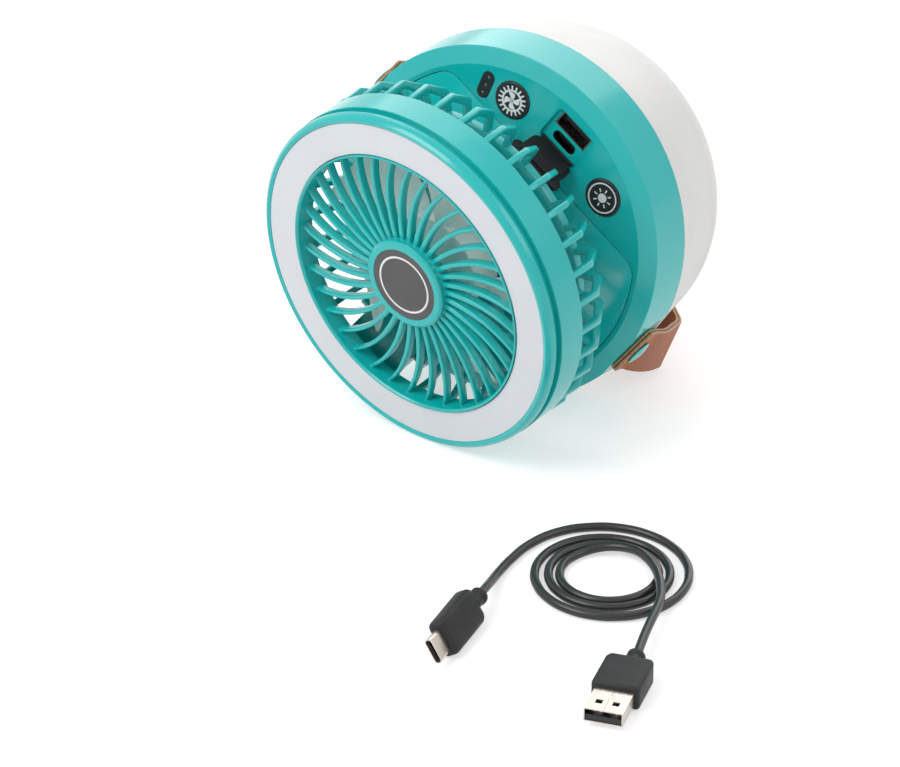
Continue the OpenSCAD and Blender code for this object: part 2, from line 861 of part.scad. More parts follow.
// ---- impeller ----------------------------------------------------------------------------------
// Blades are pitched plates lofted from a narrow steep root to a broad flatter tip
cap_wall = 2;
cap_r = can_r + cap_wall;
blade_r = lip_r - blade_clear;
cap_z0 = seat_t + 3.4;
cap_z1 = seat_t + can_h + 3;
blade_t = 1.2;
blade_mid = 14.8;

// Stations of a blade: its radius, chord, pitch and lead
blade_root = [cap_r - 0.6, 15, 42, -5];
blade_waist = [cap_r + 11, 23, 33, 0];
blade_tip = [blade_r - 1.2, 31, 25, 7];
blade_slice = 0.6;

module blade_section(station) {
    rotate([0, 0, station[3]])
        translate([station[0], 0, blade_mid])
        rotate([station[2], 0, 0])
        cube([blade_slice, station[1], blade_t], center = true);
}

module blade() {
    hull() {
        blade_section(blade_root);
        blade_section(blade_waist);
    }
    hull() {
        blade_section(blade_waist);
        blade_section(blade_tip);
    }
}

module impeller() {
    color([0.85, 0.88, 0.87, 0.8])
        place_head() {
            difference() {
                rotate_extrude($fn = 72)
                    polygon([[0, cap_z0], [cap_r, cap_z0], [cap_r, cap_z1 - 1.6], [cap_r - 1.6, cap_z1], [0, cap_z1]]);
                translate([0, 0, cap_z0 - 1])
                    cylinder(r = can_r + 0.7, h = seat_t + can_h + 1.1 - cap_z0 + 1);
                cylinder(r = shaft_r, h = far);
            }
            difference() {
                for (i = [0 : blade_count - 1])
                    rotate([0, 0, i * 360 / blade_count])
                        blade();
                translate([0, 0, -1])
                    cylinder(r = cap_r - 0.7, h = far);
            }
        }
}

module motor_shaft() {
    color(steel)
        place_head()
        translate([0, 0, seat_t + can_h - 4 + seat_gap])
        cylinder(r = shaft_r, h = cap_z1 - seat_t - can_h + 4 - 2 * seat_gap);
}

// ---- charging lead -------------------------------------------------------------------------------
// Route of the cable's middle: out of the USB-C plug, three inward turns, and over them to USB-A
lead_in = [[-6.6, -152, 3.3], [-4.8, -145, 2.8], [-3, -139, 2.0], [-0.6, -133, 1.6], [4, -124, 1.6],
    [10, -115, 1.6], [19, -107.5, 1.6]];
turn_mid = [33.4, -133];
turn_reach = [[0, 27.5], [1, 20.8], [2, 17.2], [3.2, 13]];
turn_rise = [[0, 1.6], [1050, 1.6], [1140, 4.5]];
turn_long = 1.05;
turn_start = 97;
turn_step = 20;
turn_total = 1140;
lead_turns = [for (a = [0 : turn_step : turn_total]) let(r = lookup(a / 360, turn_reach))
    [turn_mid[0] + r * cos(turn_start - a), turn_mid[1] + turn_long * r * sin(turn_start - a),
        lookup(a, turn_rise)]];
lead_out = [[46.6, -129.6, 4.7], [48.4, -135, 4.8], [49.4, -141, 4.8], [49.6, -147, 4.8], [49.2, -153, 4.8],
    [47.8, -159, 4.8], [46, -165, 4.7], [44.2, -171, 4.5], [42.6, -177, 4.4], [40.7, -185, 4.3]];
lead_route = concat(lead_in, lead_turns, lead_out);
cable_sides = 8;

function ring_at(p, i) = let(a = p[max(i - 1, 0)], b = p[min(i + 1, len(p) - 1)], t = (b - a) / norm(b - a),
    s = cross(t, [0, 0, 1]) / norm(cross(t, [0, 0, 1])), u = cross(s, t))
    [for (k = [0 : cable_sides - 1])
        p[i] + cable_d / 2 * (cos(k * 360 / cable_sides) * s + sin(k * 360 / cable_sides) * u)];
function ring_faces(i) = [for (k = [0 : cable_sides - 1]) let(k2 = (k + 1) % cable_sides)
    [i * cable_sides + k, i * cable_sides + k2, (i + 1) * cable_sides + k2, (i + 1) * cable_sides + k]];

module lead_cable() {
    rings = [for (i = [0 : len(lead_route) - 1]) each ring_at(lead_route, i)];
    last = len(lead_route) - 1;
    color([0.2, 0.2, 0.22])
        polyhedron(points = rings, faces = concat(
            [[for (k = [cable_sides - 1 : -1 : 0]) k]],
            [for (i = [0 : last - 1]) each ring_faces(i)],
            [[for (k = [0 : cable_sides - 1]) last * cable_sides + k]]));
}

function heading(a, b) = atan2(b[1] - a[1], b[0] - a[0]);
plug_a_at = lead_route[len(lead_route) - 1];
plug_a_turn = -108.5;
plug_a_w = 15;
plug_a_t = 8;
shell_a_w = 12;
shell_a_t = 4.5;
shell_a_l = 12;
relief_l = 5;
relief_r = 2.5;
relief_rim_r = 2.9;
relief_rim_l = 1.6;

module place_plug_a() {
    translate(plug_a_at)
        rotate([0, 0, plug_a_turn])
        rotate([0, 90, 0])
        children();
}

// Grip with a tapered relief behind it; length runs along the plug
module plug_grip(w, t, length, corner) {
    cylinder(r = relief_rim_r, h = relief_rim_l, $fn = 36);
    cylinder(r = relief_r, h = relief_l + 1, $fn = 36);
    translate([0, 0, relief_l])
        hull() {
            linear_extrude(1)
                rounded_bar(t - 1.6, w - 2, corner - 0.8);
            translate([0, 0, 3])
                linear_extrude(length - 3.6)
                rounded_bar(t, w, corner);
            translate([0, 0, length - 0.2])
                linear_extrude(0.2)
                rounded_bar(t - 0.8, w - 0.8, corner - 0.4);
        }
}

module usb_a_plug_grip() {
    color([0.2, 0.2, 0.22])
        place_plug_a()
        plug_grip(plug_a_w, plug_a_t, plug_a_l, 2.2);
}

module usb_a_plug_shell() {
    color(steel)
        place_plug_a()
        translate([0, 0, relief_l + plug_a_l])
        difference() {
            translate([0, 0, shell_a_l / 2])
                cube([shell_a_t, shell_a_w, shell_a_l], center = true);
            translate([0, 0, shell_a_l / 2 + 1])
                cube([shell_a_t - 0.7, shell_a_w - 0.7, shell_a_l], center = true);
            for (y = [-1, 1])
                translate([-shell_a_t / 2, y * 2.6, 7.4])
                    cube([1, 2.1, 2.1], center = true);
        }
}

module usb_a_plug_tongue() {
    color("white")
        place_plug_a()
        translate([0.9, 0, relief_l + plug_a_l + 1 + 5.4])
        cube([1.8, shell_a_w - 1, 10.6], center = true);
}

plug_c_at = lead_route[0];
plug_c_turn = -112;
plug_c_w = 12;
plug_c_t = 6.2;
shell_c_w = 8.3;
shell_c_t = 2.5;
shell_c_l = 6.7;

module place_plug_c() {
    translate(plug_c_at)
        rotate([0, 0, plug_c_turn])
        rotate([0, 90, 0])
        children();
}

module usb_c_plug_grip() {
    color([0.2, 0.2, 0.22])
        place_plug_c()
        plug_grip(plug_c_w, plug_c_t, plug_c_l, 2.6);
}

module usb_c_plug_shell() {
    color(steel)
        place_plug_c()
        translate([0, 0, relief_l + plug_c_l])
        difference() {
            linear_extrude(shell_c_l)
                rounded_bar(shell_c_t, shell_c_w, shell_c_t / 2 - eps);
            translate([0, 0, 1])
                linear_extrude(shell_c_l)
                rounded_bar(shell_c_t - 0.6, shell_c_w - 0.6, shell_c_t / 2 - 0.3 - eps);
        }
}

lantern_housing();
face_insert();
lamp_dome();
lamp_reflector();
lamp_led_board();
lamp_leds();
battery_cells();
battery_cradle();
control_board();
usb_a_port();
usb_c_port();
charge_indicator();
strap_rivets();
hinge_pin();
fan_button();
light_button();
port_cover();
carry_strap();
front_grille();
ring_diffuser();
ring_led_board();
ring_leds();
hub_badge();
rear_cage();
motor_can();
cage_screws();
impeller();
motor_shaft();
lead_cable();
usb_a_plug_grip();
usb_a_plug_shell();
usb_a_plug_tongue();
usb_c_plug_grip();
usb_c_plug_shell();
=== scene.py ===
"""Finishes and finer pieces of a folding camping fan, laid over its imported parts."""

import math

import bpy
from mathutils import Matrix, Vector


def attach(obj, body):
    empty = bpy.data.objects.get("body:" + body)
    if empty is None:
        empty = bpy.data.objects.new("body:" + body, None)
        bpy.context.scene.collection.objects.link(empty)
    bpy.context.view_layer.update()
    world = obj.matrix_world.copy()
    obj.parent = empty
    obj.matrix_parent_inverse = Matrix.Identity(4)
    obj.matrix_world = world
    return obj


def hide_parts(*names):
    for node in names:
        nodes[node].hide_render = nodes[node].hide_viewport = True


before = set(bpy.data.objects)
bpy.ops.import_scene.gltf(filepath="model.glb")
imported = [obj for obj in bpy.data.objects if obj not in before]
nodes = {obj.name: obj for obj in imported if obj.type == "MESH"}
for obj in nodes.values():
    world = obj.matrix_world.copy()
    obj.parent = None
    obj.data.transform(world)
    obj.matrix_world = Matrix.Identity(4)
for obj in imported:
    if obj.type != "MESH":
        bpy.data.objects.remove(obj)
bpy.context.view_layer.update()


# ---- places, in millimetres until MM brings them to metres -------------------------------------
def turn(degrees, axis):
    return Matrix.Rotation(math.radians(degrees), 4, axis)


def shift(x, y, z):
    return Matrix.Translation((x, y, z))


MM = Matrix.Scale(0.001, 4)
FACE_MIDDLE = (-1.2, -12.6, 62.99)
LIE_YAW = -32.3
LIE_TILT = 4.0043
LIE_ROLL = -35.4
HINGE_Y = 53.5
HINGE_Z = 6.4
SHUT_GAP = 0.8
HEAD_OPEN = 13.6
RIVET_Z = -11.5
STRAP_DROP = 23.3

# The lantern is drawn face up with +Y towards its controls, the fan head from the back of its fins
LANTERN = (MM @ shift(*FACE_MIDDLE)
           @ turn(LIE_YAW, "Z") @ turn(90 - LIE_TILT, "X") @ turn(LIE_ROLL, "Z"))
HEAD = (LANTERN @ shift(0, -HINGE_Y, HINGE_Z) @ turn(HEAD_OPEN, "X")
        @ shift(0, HINGE_Y, SHUT_GAP - HINGE_Z))
STRAP = LANTERN @ shift(0, 0, RIVET_Z) @ turn(180 - STRAP_DROP, "X") @ turn(90, "X")


# ---- camera ------------------------------------------------------------------------------------
CAMERA_AT = (-0.0152, -1.2222, 0.6603)
CAMERA_TILT = 61.5
CAMERA_LENS = 163.6
SENSOR_W = 36


def set_camera():
    bpy.ops.object.camera_add(location=CAMERA_AT, rotation=(math.radians(CAMERA_TILT), 0, 0))
    camera = bpy.context.object
    camera.name = "camera"
    camera.data.lens = CAMERA_LENS
    camera.data.sensor_width = SENSOR_W
    bpy.context.scene.camera = camera


# ---- modelling by hand, in millimetres ---------------------------------------------------------
WELD = 0.0005
NEAR = 0.01
ROUND_STEPS = 144
CORNER_STEPS = 8


def deselect():
    if bpy.context.object and bpy.context.object.mode != "OBJECT":
        bpy.ops.object.mode_set(mode="OBJECT")
    bpy.ops.object.select_all(action="DESELECT")


def hold(piece):
    """Makes one piece the selected and active one."""
    deselect()
    piece.select_set(True)
    bpy.context.view_layer.objects.active = piece


def pick_none(piece, kind):
    """Holds a piece with nothing selected in it; kind is what edit mode picks from then on."""
    hold(piece)
    bpy.ops.object.mode_set(mode="EDIT")
    bpy.ops.mesh.select_mode(type=kind)
    bpy.ops.mesh.select_all(action="DESELECT")
    bpy.ops.object.mode_set(mode="OBJECT")


def pick_faces(piece, test):
    """Goes to edit mode with the faces selected whose normal passes the test."""
    pick_none(piece, "FACE")
    for face in piece.data.polygons:
        face.select = test(face.normal)
    bpy.ops.object.mode_set(mode="EDIT")


def pick_edges(piece, test):
    """Goes to edit mode with the edges selected whose two ends pass the test."""
    pick_none(piece, "EDGE")
    points = piece.data.vertices
    for edge in piece.data.edges:
        edge.select = test(*(points[end].co for end in edge.vertices))
    bpy.ops.object.mode_set(mode="EDIT")


def pick_points(piece, test):
    """Goes to edit mode with the points selected that pass the test."""
    pick_none(piece, "VERT")
    for point in piece.data.vertices:
        point.select = test(point.co)
    bpy.ops.object.mode_set(mode="EDIT")


def faces_up(normal):
    return normal.z > 0.5


def faces_down(normal):
    return normal.z < -0.5


def pull(rise):
    """Draws the selected faces out along Z."""
    bpy.ops.mesh.extrude_region_move(TRANSFORM_OT_translate={"value": (0, 0, rise)})


def widen(x, y, z=1, about=(0, 0, 0)):
    """Scales what is selected in edit mode."""
    bpy.ops.transform.resize(value=(x, y, z), center_override=about)


def spin_selected(degrees, axis, about=(0, 0, 0)):
    """Turns what is selected in edit mode; with no window the operator turns the other way."""
    bpy.ops.transform.rotate(value=-math.radians(degrees), orient_axis=axis, center_override=about)


def slice_held(points, normal):
    """Cuts the whole held mesh along planes through the points; starts and ends in object mode."""
    bpy.ops.object.mode_set(mode="EDIT")
    for point in points:
        bpy.ops.mesh.select_all(action="SELECT")
        bpy.ops.mesh.bisect(plane_co=point, plane_no=normal)
    bpy.ops.object.mode_set(mode="OBJECT")


def add_bevel(piece, width, segments=3, angle=30):
    bevel = piece.modifiers.new("edges", "BEVEL")
    bevel.width = width
    bevel.segments = segments
    bevel.limit_method = "ANGLE"
    bevel.angle_limit = math.radians(angle)


def add_wall(piece, thick):
    """Gives a flat sheet its thickness, half to each side."""
    wall = piece.modifiers.new("wall", "SOLIDIFY")
    wall.thickness = thick
    wall.offset = 0


def finish_mesh(piece, angle=35):
    """Applies the modifiers, closes the mesh and smooths its round sides."""
    hold(piece)
    for modifier in list(piece.modifiers):
        bpy.ops.object.modifier_apply(modifier=modifier.name)
    bpy.ops.object.mode_set(mode="EDIT")
    bpy.ops.mesh.select_all(action="SELECT")
    bpy.ops.mesh.remove_doubles(threshold=WELD)
    bpy.ops.mesh.normals_make_consistent(inside=False)
    bpy.ops.object.mode_set(mode="OBJECT")
    bpy.ops.object.shade_smooth_by_angle(angle=math.radians(angle))
    return piece


def join(name, *pieces):
    """Joins pieces into the first of them."""
    hold(pieces[0])
    for piece in pieces:
        piece.select_set(True)
    bpy.ops.object.join()
    pieces[0].name = name
    return pieces[0]


def block(size, middle):
    """A box with its sides along the axes."""
    deselect()
    bpy.ops.mesh.primitive_cube_add(size=1, location=middle)
    piece = bpy.context.object
    piece.scale = size
    bpy.ops.object.transform_apply(location=True, scale=True)
    return piece


def drum(radius, low, high, sides):
    """A solid cylinder round Z."""
    deselect()
    bpy.ops.mesh.primitive_cylinder_add(vertices=sides, radius=radius, depth=high - low,
                                        location=(0, 0, (low + high) / 2))
    bpy.ops.object.transform_apply(location=True)
    return bpy.context.object


def round_corners(piece, radius):
    """Rounds the edges that run along Z."""
    pick_edges(piece, lambda one, other: abs(one.z - other.z) > NEAR)
    bpy.ops.mesh.bevel(offset=radius, segments=CORNER_STEPS)
    bpy.ops.object.mode_set(mode="OBJECT")


def draw_curve(points, handles, closed=False):
    """A curve with a knot at each point."""
    deselect()
    bpy.ops.curve.primitive_bezier_curve_add(location=(0, 0, 0))
    curve = bpy.context.object
    spline = curve.data.splines[0]
    spline.bezier_points.add(len(points) - 2)
    for knot, point in zip(spline.bezier_points, points):
        knot.co = point
        knot.handle_left_type = knot.handle_right_type = handles
    spline.use_cyclic_u = closed
    if handles == "VECTOR":
        curve.data.resolution_u = 1
    return curve


def to_mesh():
    """Turns the active curve into a mesh."""
    bpy.ops.object.convert(target="MESH")
    return bpy.context.object


def lathe(profile, edge=0, steps=ROUND_STEPS):
    """Revolves a closed profile of (radius, height) points about Z."""
    draw_curve([(radius, 0, height) for radius, height in profile], "VECTOR", closed=True)
    piece = to_mesh()
    sweep = piece.modifiers.new("sweep", "SCREW")
    sweep.steps = sweep.render_steps = steps
    sweep.use_merge_vertices = True
    if edge:
        add_bevel(piece, edge, 3, 50)
    return finish_mesh(piece)


def tube(outer, inner, low, high, edge=0, steps=ROUND_STEPS):
    """A round pipe on Z, from radius to radius and from height to height."""
    return lathe([(outer, low), (outer, high), (inner, high), (inner, low)], edge, steps)


def cut_out(outline, thick, edge):
    """A flat piece with rounded edges, from its outline in X and Y, centred on Z."""
    shape = draw_curve([(x, y, 0) for x, y in outline], "VECTOR", closed=True).data
    shape.dimensions = "2D"
    shape.fill_mode = "BOTH"
    shape.extrude = thick / 2 - edge
    shape.bevel_depth = edge
    shape.bevel_resolution = 2
    shape.offset = -edge
    return finish_mesh(to_mesh())


def repeat_round(piece, name, count, skipped=()):
    """Copies a piece round the Z axis and joins the copies."""
    copies = [piece]
    for i in range(1, count):
        if i in skipped:
            continue
        hold(piece)
        bpy.ops.object.duplicate()
        copy = bpy.context.object
        copy.data.transform(turn(i * 360 / count, "Z"))
        copies.append(copy)
    return join(name, *copies)


def place(piece, name, where, body, slot, finish, *stands_for):
    """Puts a finished piece in the shared frame and gives it its body and finish; slot is not used.
    """
    hold(piece)
    bpy.ops.object.transform_apply(location=True, rotation=True, scale=True)
    piece.data.transform(where)
    piece.name = name
    piece.data.name = name
    piece.data.materials.clear()
    piece.data.materials.append(finish.material)
    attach(piece, body)
    if stands_for:
        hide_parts(*stands_for)
    return piece


# ---- finishes, in metres -----------------------------------------------------------------------
CLOUDS = 0.03
PATCHES = 0.006
TARNISH = 0.004
BRUSH_LINES = 0.0006
BRUSH_DEPTH = 0.000008


class Finish:
    """One material: a Principled shader with nodes laid out around it."""

    def __init__(self, name, roughness=0.4, metallic=0.0, gloss=0.5):
        self.material = bpy.data.materials.new(name)
        self.material.use_nodes = True
        self.nodes = self.material.node_tree.nodes
        self.links = self.material.node_tree.links
        self.shader = self.nodes["Principled BSDF"]
        self.shader.inputs["Roughness"].default_value = roughness
        self.shader.inputs["Metallic"].default_value = metallic
        self.shader.inputs["Specular IOR Level"].default_value = gloss
        self.place = self.nodes.new("ShaderNodeTexCoord").outputs["Object"]

    def stretched(self, scale):
        """The place with each axis scaled, so that what is laid on it runs in streaks."""
        mapping = self.nodes.new("ShaderNodeMapping")
        mapping.inputs["Scale"].default_value = scale
        self.links.new(self.place, mapping.inputs["Vector"])
        return mapping.outputs["Vector"]

    def noise(self, size, detail=3, where=None):
        """Noise whose blots are about size metres across."""
        noise = self.nodes.new("ShaderNodeTexNoise")
        noise.inputs["Scale"].default_value = 1 / size
        noise.inputs["Detail"].default_value = detail
        self.links.new(where or self.place, noise.inputs["Vector"])
        return noise.outputs["Fac"]

    def cells(self, size):
        """The distance to the border of cells about size metres across."""
        cells = self.nodes.new("ShaderNodeTexVoronoi")
        cells.feature = "DISTANCE_TO_EDGE"
        cells.inputs["Scale"].default_value = 1 / size
        self.links.new(self.place, cells.inputs["Vector"])
        return cells.outputs["Distance"]

    def attribute(self, name):
        node = self.nodes.new("ShaderNodeAttribute")
        node.attribute_name = name
        return node.outputs["Fac"]

    def spread(self, value, low, high, start=0.3, end=0.7):
        """Brings a value from start..end to low..high."""
        ramp = self.nodes.new("ShaderNodeMapRange")
        numbers = {"From Min": start, "From Max": end, "To Min": low, "To Max": high}
        for socket, number in numbers.items():
            ramp.inputs[socket].default_value = number
        self.links.new(value, ramp.inputs["Value"])
        return ramp.outputs["Result"]

    def blend_colours(self, value, *stops):
        """A colour ramp through (position, colour) stops."""
        ramp = self.nodes.new("ShaderNodeValToRGB")
        elements = ramp.color_ramp.elements
        while len(elements) < len(stops):
            elements.new(0.5)
        for element, (position, colour) in zip(elements, stops):
            element.position = position
            element.color = (*colour, 1)
        self.links.new(value, ramp.inputs["Fac"])
        return ramp.outputs["Color"]

    def mixer(self, factor):
        """A colour mixer driven by the factor; its sides A and B are still to be filled."""
        mixer = self.nodes.new("ShaderNodeMix")
        mixer.data_type = "RGBA"
        self.links.new(factor, mixer.inputs["Factor"])
        return mixer

    def colour(self, value, *stops):
        self.links.new(self.blend_colours(value, *stops), self.shader.inputs["Base Color"])

    def rough(self, value, low, high):
        self.links.new(self.spread(value, low, high), self.shader.inputs["Roughness"])

    def relief(self, height, depth, strength=1.0, edge=None):
        """Bump of the given depth; edge rounds sharp corners by that radius."""
        bump = self.nodes.new("ShaderNodeBump")
        bump.inputs["Strength"].default_value = strength
        bump.inputs["Distance"].default_value = depth
        self.links.new(height, bump.inputs["Height"])
        if edge:
            corner = self.nodes.new("ShaderNodeBevel")
            corner.samples = 6
            corner.inputs["Radius"].default_value = edge
            self.links.new(corner.outputs["Normal"], bump.inputs["Normal"])
        self.links.new(bump.outputs["Normal"], self.shader.inputs["Normal"])


def moulded(name, colour, shade, roughness, grain, depth, edge=None, gloss=0.5):
    """Moulded plastic: slight clouds in its colour and gloss over a fine grain."""
    finish = Finish(name, gloss=gloss)
    finish.colour(finish.noise(CLOUDS, 2), (0.35, shade), (0.65, colour))
    finish.rough(finish.noise(PATCHES, 3), *roughness)
    finish.relief(finish.noise(grain, 2), depth, edge=edge)
    return finish


def make_metal(name, colour, shade, roughness, brushed):
    """Slightly tarnished metal whose fine streaks run across the axis that brushed scales up."""
    finish = Finish(name, metallic=1.0)
    streaks = finish.noise(BRUSH_LINES, 4, finish.stretched(brushed))
    finish.colour(finish.noise(TARNISH, 3), (0.3, shade), (0.7, colour))
    finish.rough(streaks, *roughness)
    finish.relief(streaks, BRUSH_DEPTH)
    return finish


def lacquer(finish, weight, roughness):
    """A thin clear gloss on top."""
    finish.shader.inputs["Coat Weight"].default_value = weight
    finish.shader.inputs["Coat Roughness"].default_value = roughness


def soften(finish, weight, radius):
    """Lets light in below the surface."""
    finish.shader.inputs["Subsurface Weight"].default_value = weight
    finish.shader.inputs["Subsurface Scale"].default_value = radius


LEATHER_DARK = (0.27, 0.078, 0.028)
LEATHER_MID = (0.345, 0.105, 0.04)
LEATHER_LIGHT = (0.42, 0.145, 0.062)
FIBRE_DARK = (0.36, 0.185, 0.09)
FIBRE_LIGHT = (0.56, 0.33, 0.18)
JOINT_BROWN = (0.045, 0.018, 0.01)


def make_leather():
    """Smooth tan leather in two plies: pores and clouds outside, raw edges with a dark joint."""
    finish = Finish("leather", gloss=0.18)
    clouds = finish.noise(0.009, 4)
    pores = finish.cells(0.0007)
    face = finish.blend_colours(clouds, (0.3, LEATHER_DARK), (0.52, LEATHER_MID),
                                (0.72, LEATHER_LIGHT))
    fibre = finish.blend_colours(finish.noise(0.0008, 4), (0.35, FIBRE_DARK), (0.65, FIBRE_LIGHT))
    plies = finish.mixer(finish.spread(finish.attribute("cut_edge"), 0, 1, 0.45, 0.55))
    finish.links.new(face, plies.inputs["A"])
    finish.links.new(fibre, plies.inputs["B"])
    joined = finish.mixer(finish.spread(finish.attribute("ply_joint"), 0, 1, 0.3, 0.9))
    finish.links.new(plies.outputs["Result"], joined.inputs["A"])
    joined.inputs["B"].default_value = (*JOINT_BROWN, 1)
    finish.links.new(joined.outputs["Result"], finish.shader.inputs["Base Color"])
    finish.rough(clouds, 0.42, 0.58)
    finish.relief(finish.spread(pores, 0, 1, 0.0, 0.12), 0.00004, strength=0.6)
    return finish


def make_circuit_board():
    """Green lacquer over copper tracks."""
    finish = Finish("circuit_board", roughness=0.35)
    tracks = finish.nodes.new("ShaderNodeTexBrick")
    tracks.inputs["Scale"].default_value = 260
    tracks.inputs["Mortar Size"].default_value = 0.03
    tracks.inputs["Color1"].default_value = (0.012, 0.11, 0.04, 1)
    tracks.inputs["Color2"].default_value = (0.015, 0.14, 0.05, 1)
    tracks.inputs["Mortar"].default_value = (0.04, 0.22, 0.07, 1)
    finish.links.new(finish.place, tracks.inputs["Vector"])
    finish.links.new(tracks.outputs["Color"], finish.shader.inputs["Base Color"])
    finish.rough(finish.noise(0.002), 0.28, 0.42)
    finish.relief(tracks.outputs["Fac"], 0.00005)
    return finish


def make_light_chip():
    """Yellow phosphor under clear resin."""
    finish = Finish("light_chip", roughness=0.2)
    finish.colour(finish.noise(0.0005, 3), (0.35, (0.72, 0.52, 0.08)), (0.65, (0.86, 0.70, 0.16)))
    finish.rough(finish.noise(0.001), 0.15, 0.3)
    finish.relief(finish.noise(0.0004), 0.00002)
    return finish


def make_cell_sleeve():
    """Blue shrink sleeve with fine wrinkles."""
    finish = Finish("cell_sleeve", roughness=0.3)
    wrinkles = finish.noise(0.0025, 4, finish.stretched((1, 1, 3)))
    finish.colour(wrinkles, (0.35, (0.04, 0.13, 0.36)), (0.65, (0.06, 0.18, 0.45)))
    finish.rough(wrinkles, 0.22, 0.4)
    finish.relief(wrinkles, 0.00006)
    return finish


def make_indicator_lens():
    """Clear green-grey resin of an unlit indicator."""
    finish = Finish("indicator_lens", roughness=0.12)
    finish.colour(finish.noise(0.0005), (0.4, (0.10, 0.19, 0.16)), (0.6, (0.17, 0.29, 0.25)))
    finish.rough(finish.noise(0.0004), 0.08, 0.18)
    finish.relief(finish.noise(0.0003), 0.00001)
    return finish


teal_shell = moulded(
    "teal_shell", colour=(0.004, 0.447, 0.437), shade=(0.003, 0.423, 0.413),
    roughness=(0.17, 0.24), grain=0.0016, depth=0.00001, edge=0.0005)
lacquer(teal_shell, weight=0.15, roughness=0.1)
# The face's teal is the shell's teal plastic painted lighter: the extra brightness is painted light
# on the face, which lies under the head
teal_panel = moulded(
    "teal_panel", colour=(0.004, 0.55, 0.54), shade=(0.003, 0.52, 0.51),
    roughness=(0.2, 0.28), grain=0.0012, depth=0.00001, edge=0.00015, gloss=1.0)
lacquer(teal_panel, weight=0.8, roughness=0.15)
frosted_dome = moulded(
    "frosted_dome", colour=(0.71, 0.70, 0.685), shade=(0.68, 0.67, 0.655),
    roughness=(0.42, 0.52), grain=0.0005, depth=0.00002, edge=0.0004, gloss=0.35)
soften(frosted_dome, weight=0.25, radius=0.006)
white_plastic = moulded(
    "white_plastic", colour=(0.82, 0.82, 0.82), shade=(0.77, 0.77, 0.76),
    roughness=(0.35, 0.5), grain=0.0007, depth=0.00002)
ring_light = moulded(
    "ring_light", colour=(0.645, 0.665, 0.70), shade=(0.62, 0.64, 0.67),
    roughness=(0.3, 0.4), grain=0.0009, depth=0.00002, gloss=0.4)
soften(ring_light, weight=0.2, radius=0.003)
black_plastic = moulded(
    "black_plastic", colour=(0.012, 0.013, 0.015), shade=(0.007, 0.008, 0.009),
    roughness=(0.34, 0.48), grain=0.0004, depth=0.00002, edge=0.00015)
black_rubber = moulded(
    "black_rubber", colour=(0.008, 0.008, 0.009), shade=(0.005, 0.005, 0.006),
    roughness=(0.5, 0.66), grain=0.0003, depth=0.00003, gloss=0.3)
badge_grey = moulded(
    "badge_grey", colour=(0.07, 0.066, 0.07), shade=(0.06, 0.057, 0.06),
    roughness=(0.42, 0.55), grain=0.0003, depth=0.00001)
print_white = moulded(
    "print_white", colour=(0.76, 0.78, 0.78), shade=(0.68, 0.70, 0.70),
    roughness=(0.5, 0.62), grain=0.0002, depth=0.00001)
cable_jacket = moulded(
    "cable_jacket", colour=(0.021, 0.021, 0.021), shade=(0.015, 0.015, 0.015),
    roughness=(0.26, 0.36), grain=0.0005, depth=0.00002)
grip_rubber = moulded(
    "grip_rubber", colour=(0.022, 0.022, 0.0225), shade=(0.016, 0.016, 0.0165),
    roughness=(0.5, 0.62), grain=0.00025, depth=0.00002, gloss=0.3)
impeller_plastic = moulded(
    "impeller_plastic", colour=(0.84, 0.90, 0.87), shade=(0.78, 0.85, 0.82),
    roughness=(0.26, 0.38), grain=0.0008, depth=0.00002)
soften(impeller_plastic, weight=0.4, radius=0.004)

bright_metal = make_metal(
    "bright_metal", colour=(0.62, 0.56, 0.50), shade=(0.56, 0.50, 0.445),
    roughness=(0.2, 0.34), brushed=(1, 1, 8))
steel = make_metal(
    "steel", colour=(0.58, 0.58, 0.60), shade=(0.50, 0.50, 0.52),
    roughness=(0.25, 0.4), brushed=(1, 1, 6))
motor_metal = make_metal(
    "motor_metal", colour=(0.52, 0.53, 0.55), shade=(0.45, 0.46, 0.48),
    roughness=(0.3, 0.45), brushed=(1, 6, 1))
port_metal = make_metal(
    "port_metal", colour=(0.15, 0.148, 0.145), shade=(0.09, 0.088, 0.086),
    roughness=(0.22, 0.36), brushed=(1, 1, 6))
brass = make_metal(
    "contact_brass", colour=(0.36, 0.29, 0.18), shade=(0.28, 0.22, 0.13),
    roughness=(0.22, 0.36), brushed=(6, 1, 1))

leather = make_leather()
circuit_board = make_circuit_board()
light_chip = make_light_chip()
cell_sleeve = make_cell_sleeve()
indicator_lens = make_indicator_lens()

NODE_FINISHES = {
    "lantern_housing": teal_shell,
    "face_insert": teal_panel,
    "lamp_dome": frosted_dome,
    "lamp_reflector": white_plastic,
    "lamp_led_board": white_plastic,
    "lamp_leds": light_chip,
    "battery_cells": cell_sleeve,
    "battery_cradle": white_plastic,
    "control_board": circuit_board,
    "usb_a_port": bright_metal,
    "usb_c_port": port_metal,
    "charge_indicator": black_plastic,
    "strap_rivets": teal_shell,
    "hinge_pin": steel,
    "fan_button": black_plastic,
    "light_button": black_plastic,
    "port_cover": black_rubber,
    "carry_strap": leather,
    "front_grille": teal_shell,
    "ring_diffuser": ring_light,
    "ring_led_board": white_plastic,
    "ring_leds": light_chip,
    "hub_badge": badge_grey,
    "rear_cage": teal_shell,
    "motor_can": motor_metal,
    "cage_screws": steel,
    "impeller": impeller_plastic,
    "motor_shaft": steel,
    "lead_cable": cable_jacket,
    "usb_a_plug_grip": grip_rubber,
    "usb_a_plug_shell": bright_metal,
    "usb_a_plug_tongue": black_plastic,
    "usb_c_plug_grip": grip_rubber,
    "usb_c_plug_shell": bright_metal,
}


def dress_nodes():
    """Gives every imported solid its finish."""
    for name, finish in NODE_FINISHES.items():
        mesh = nodes[name].data
        mesh.materials.clear()
        mesh.materials.append(finish.material)


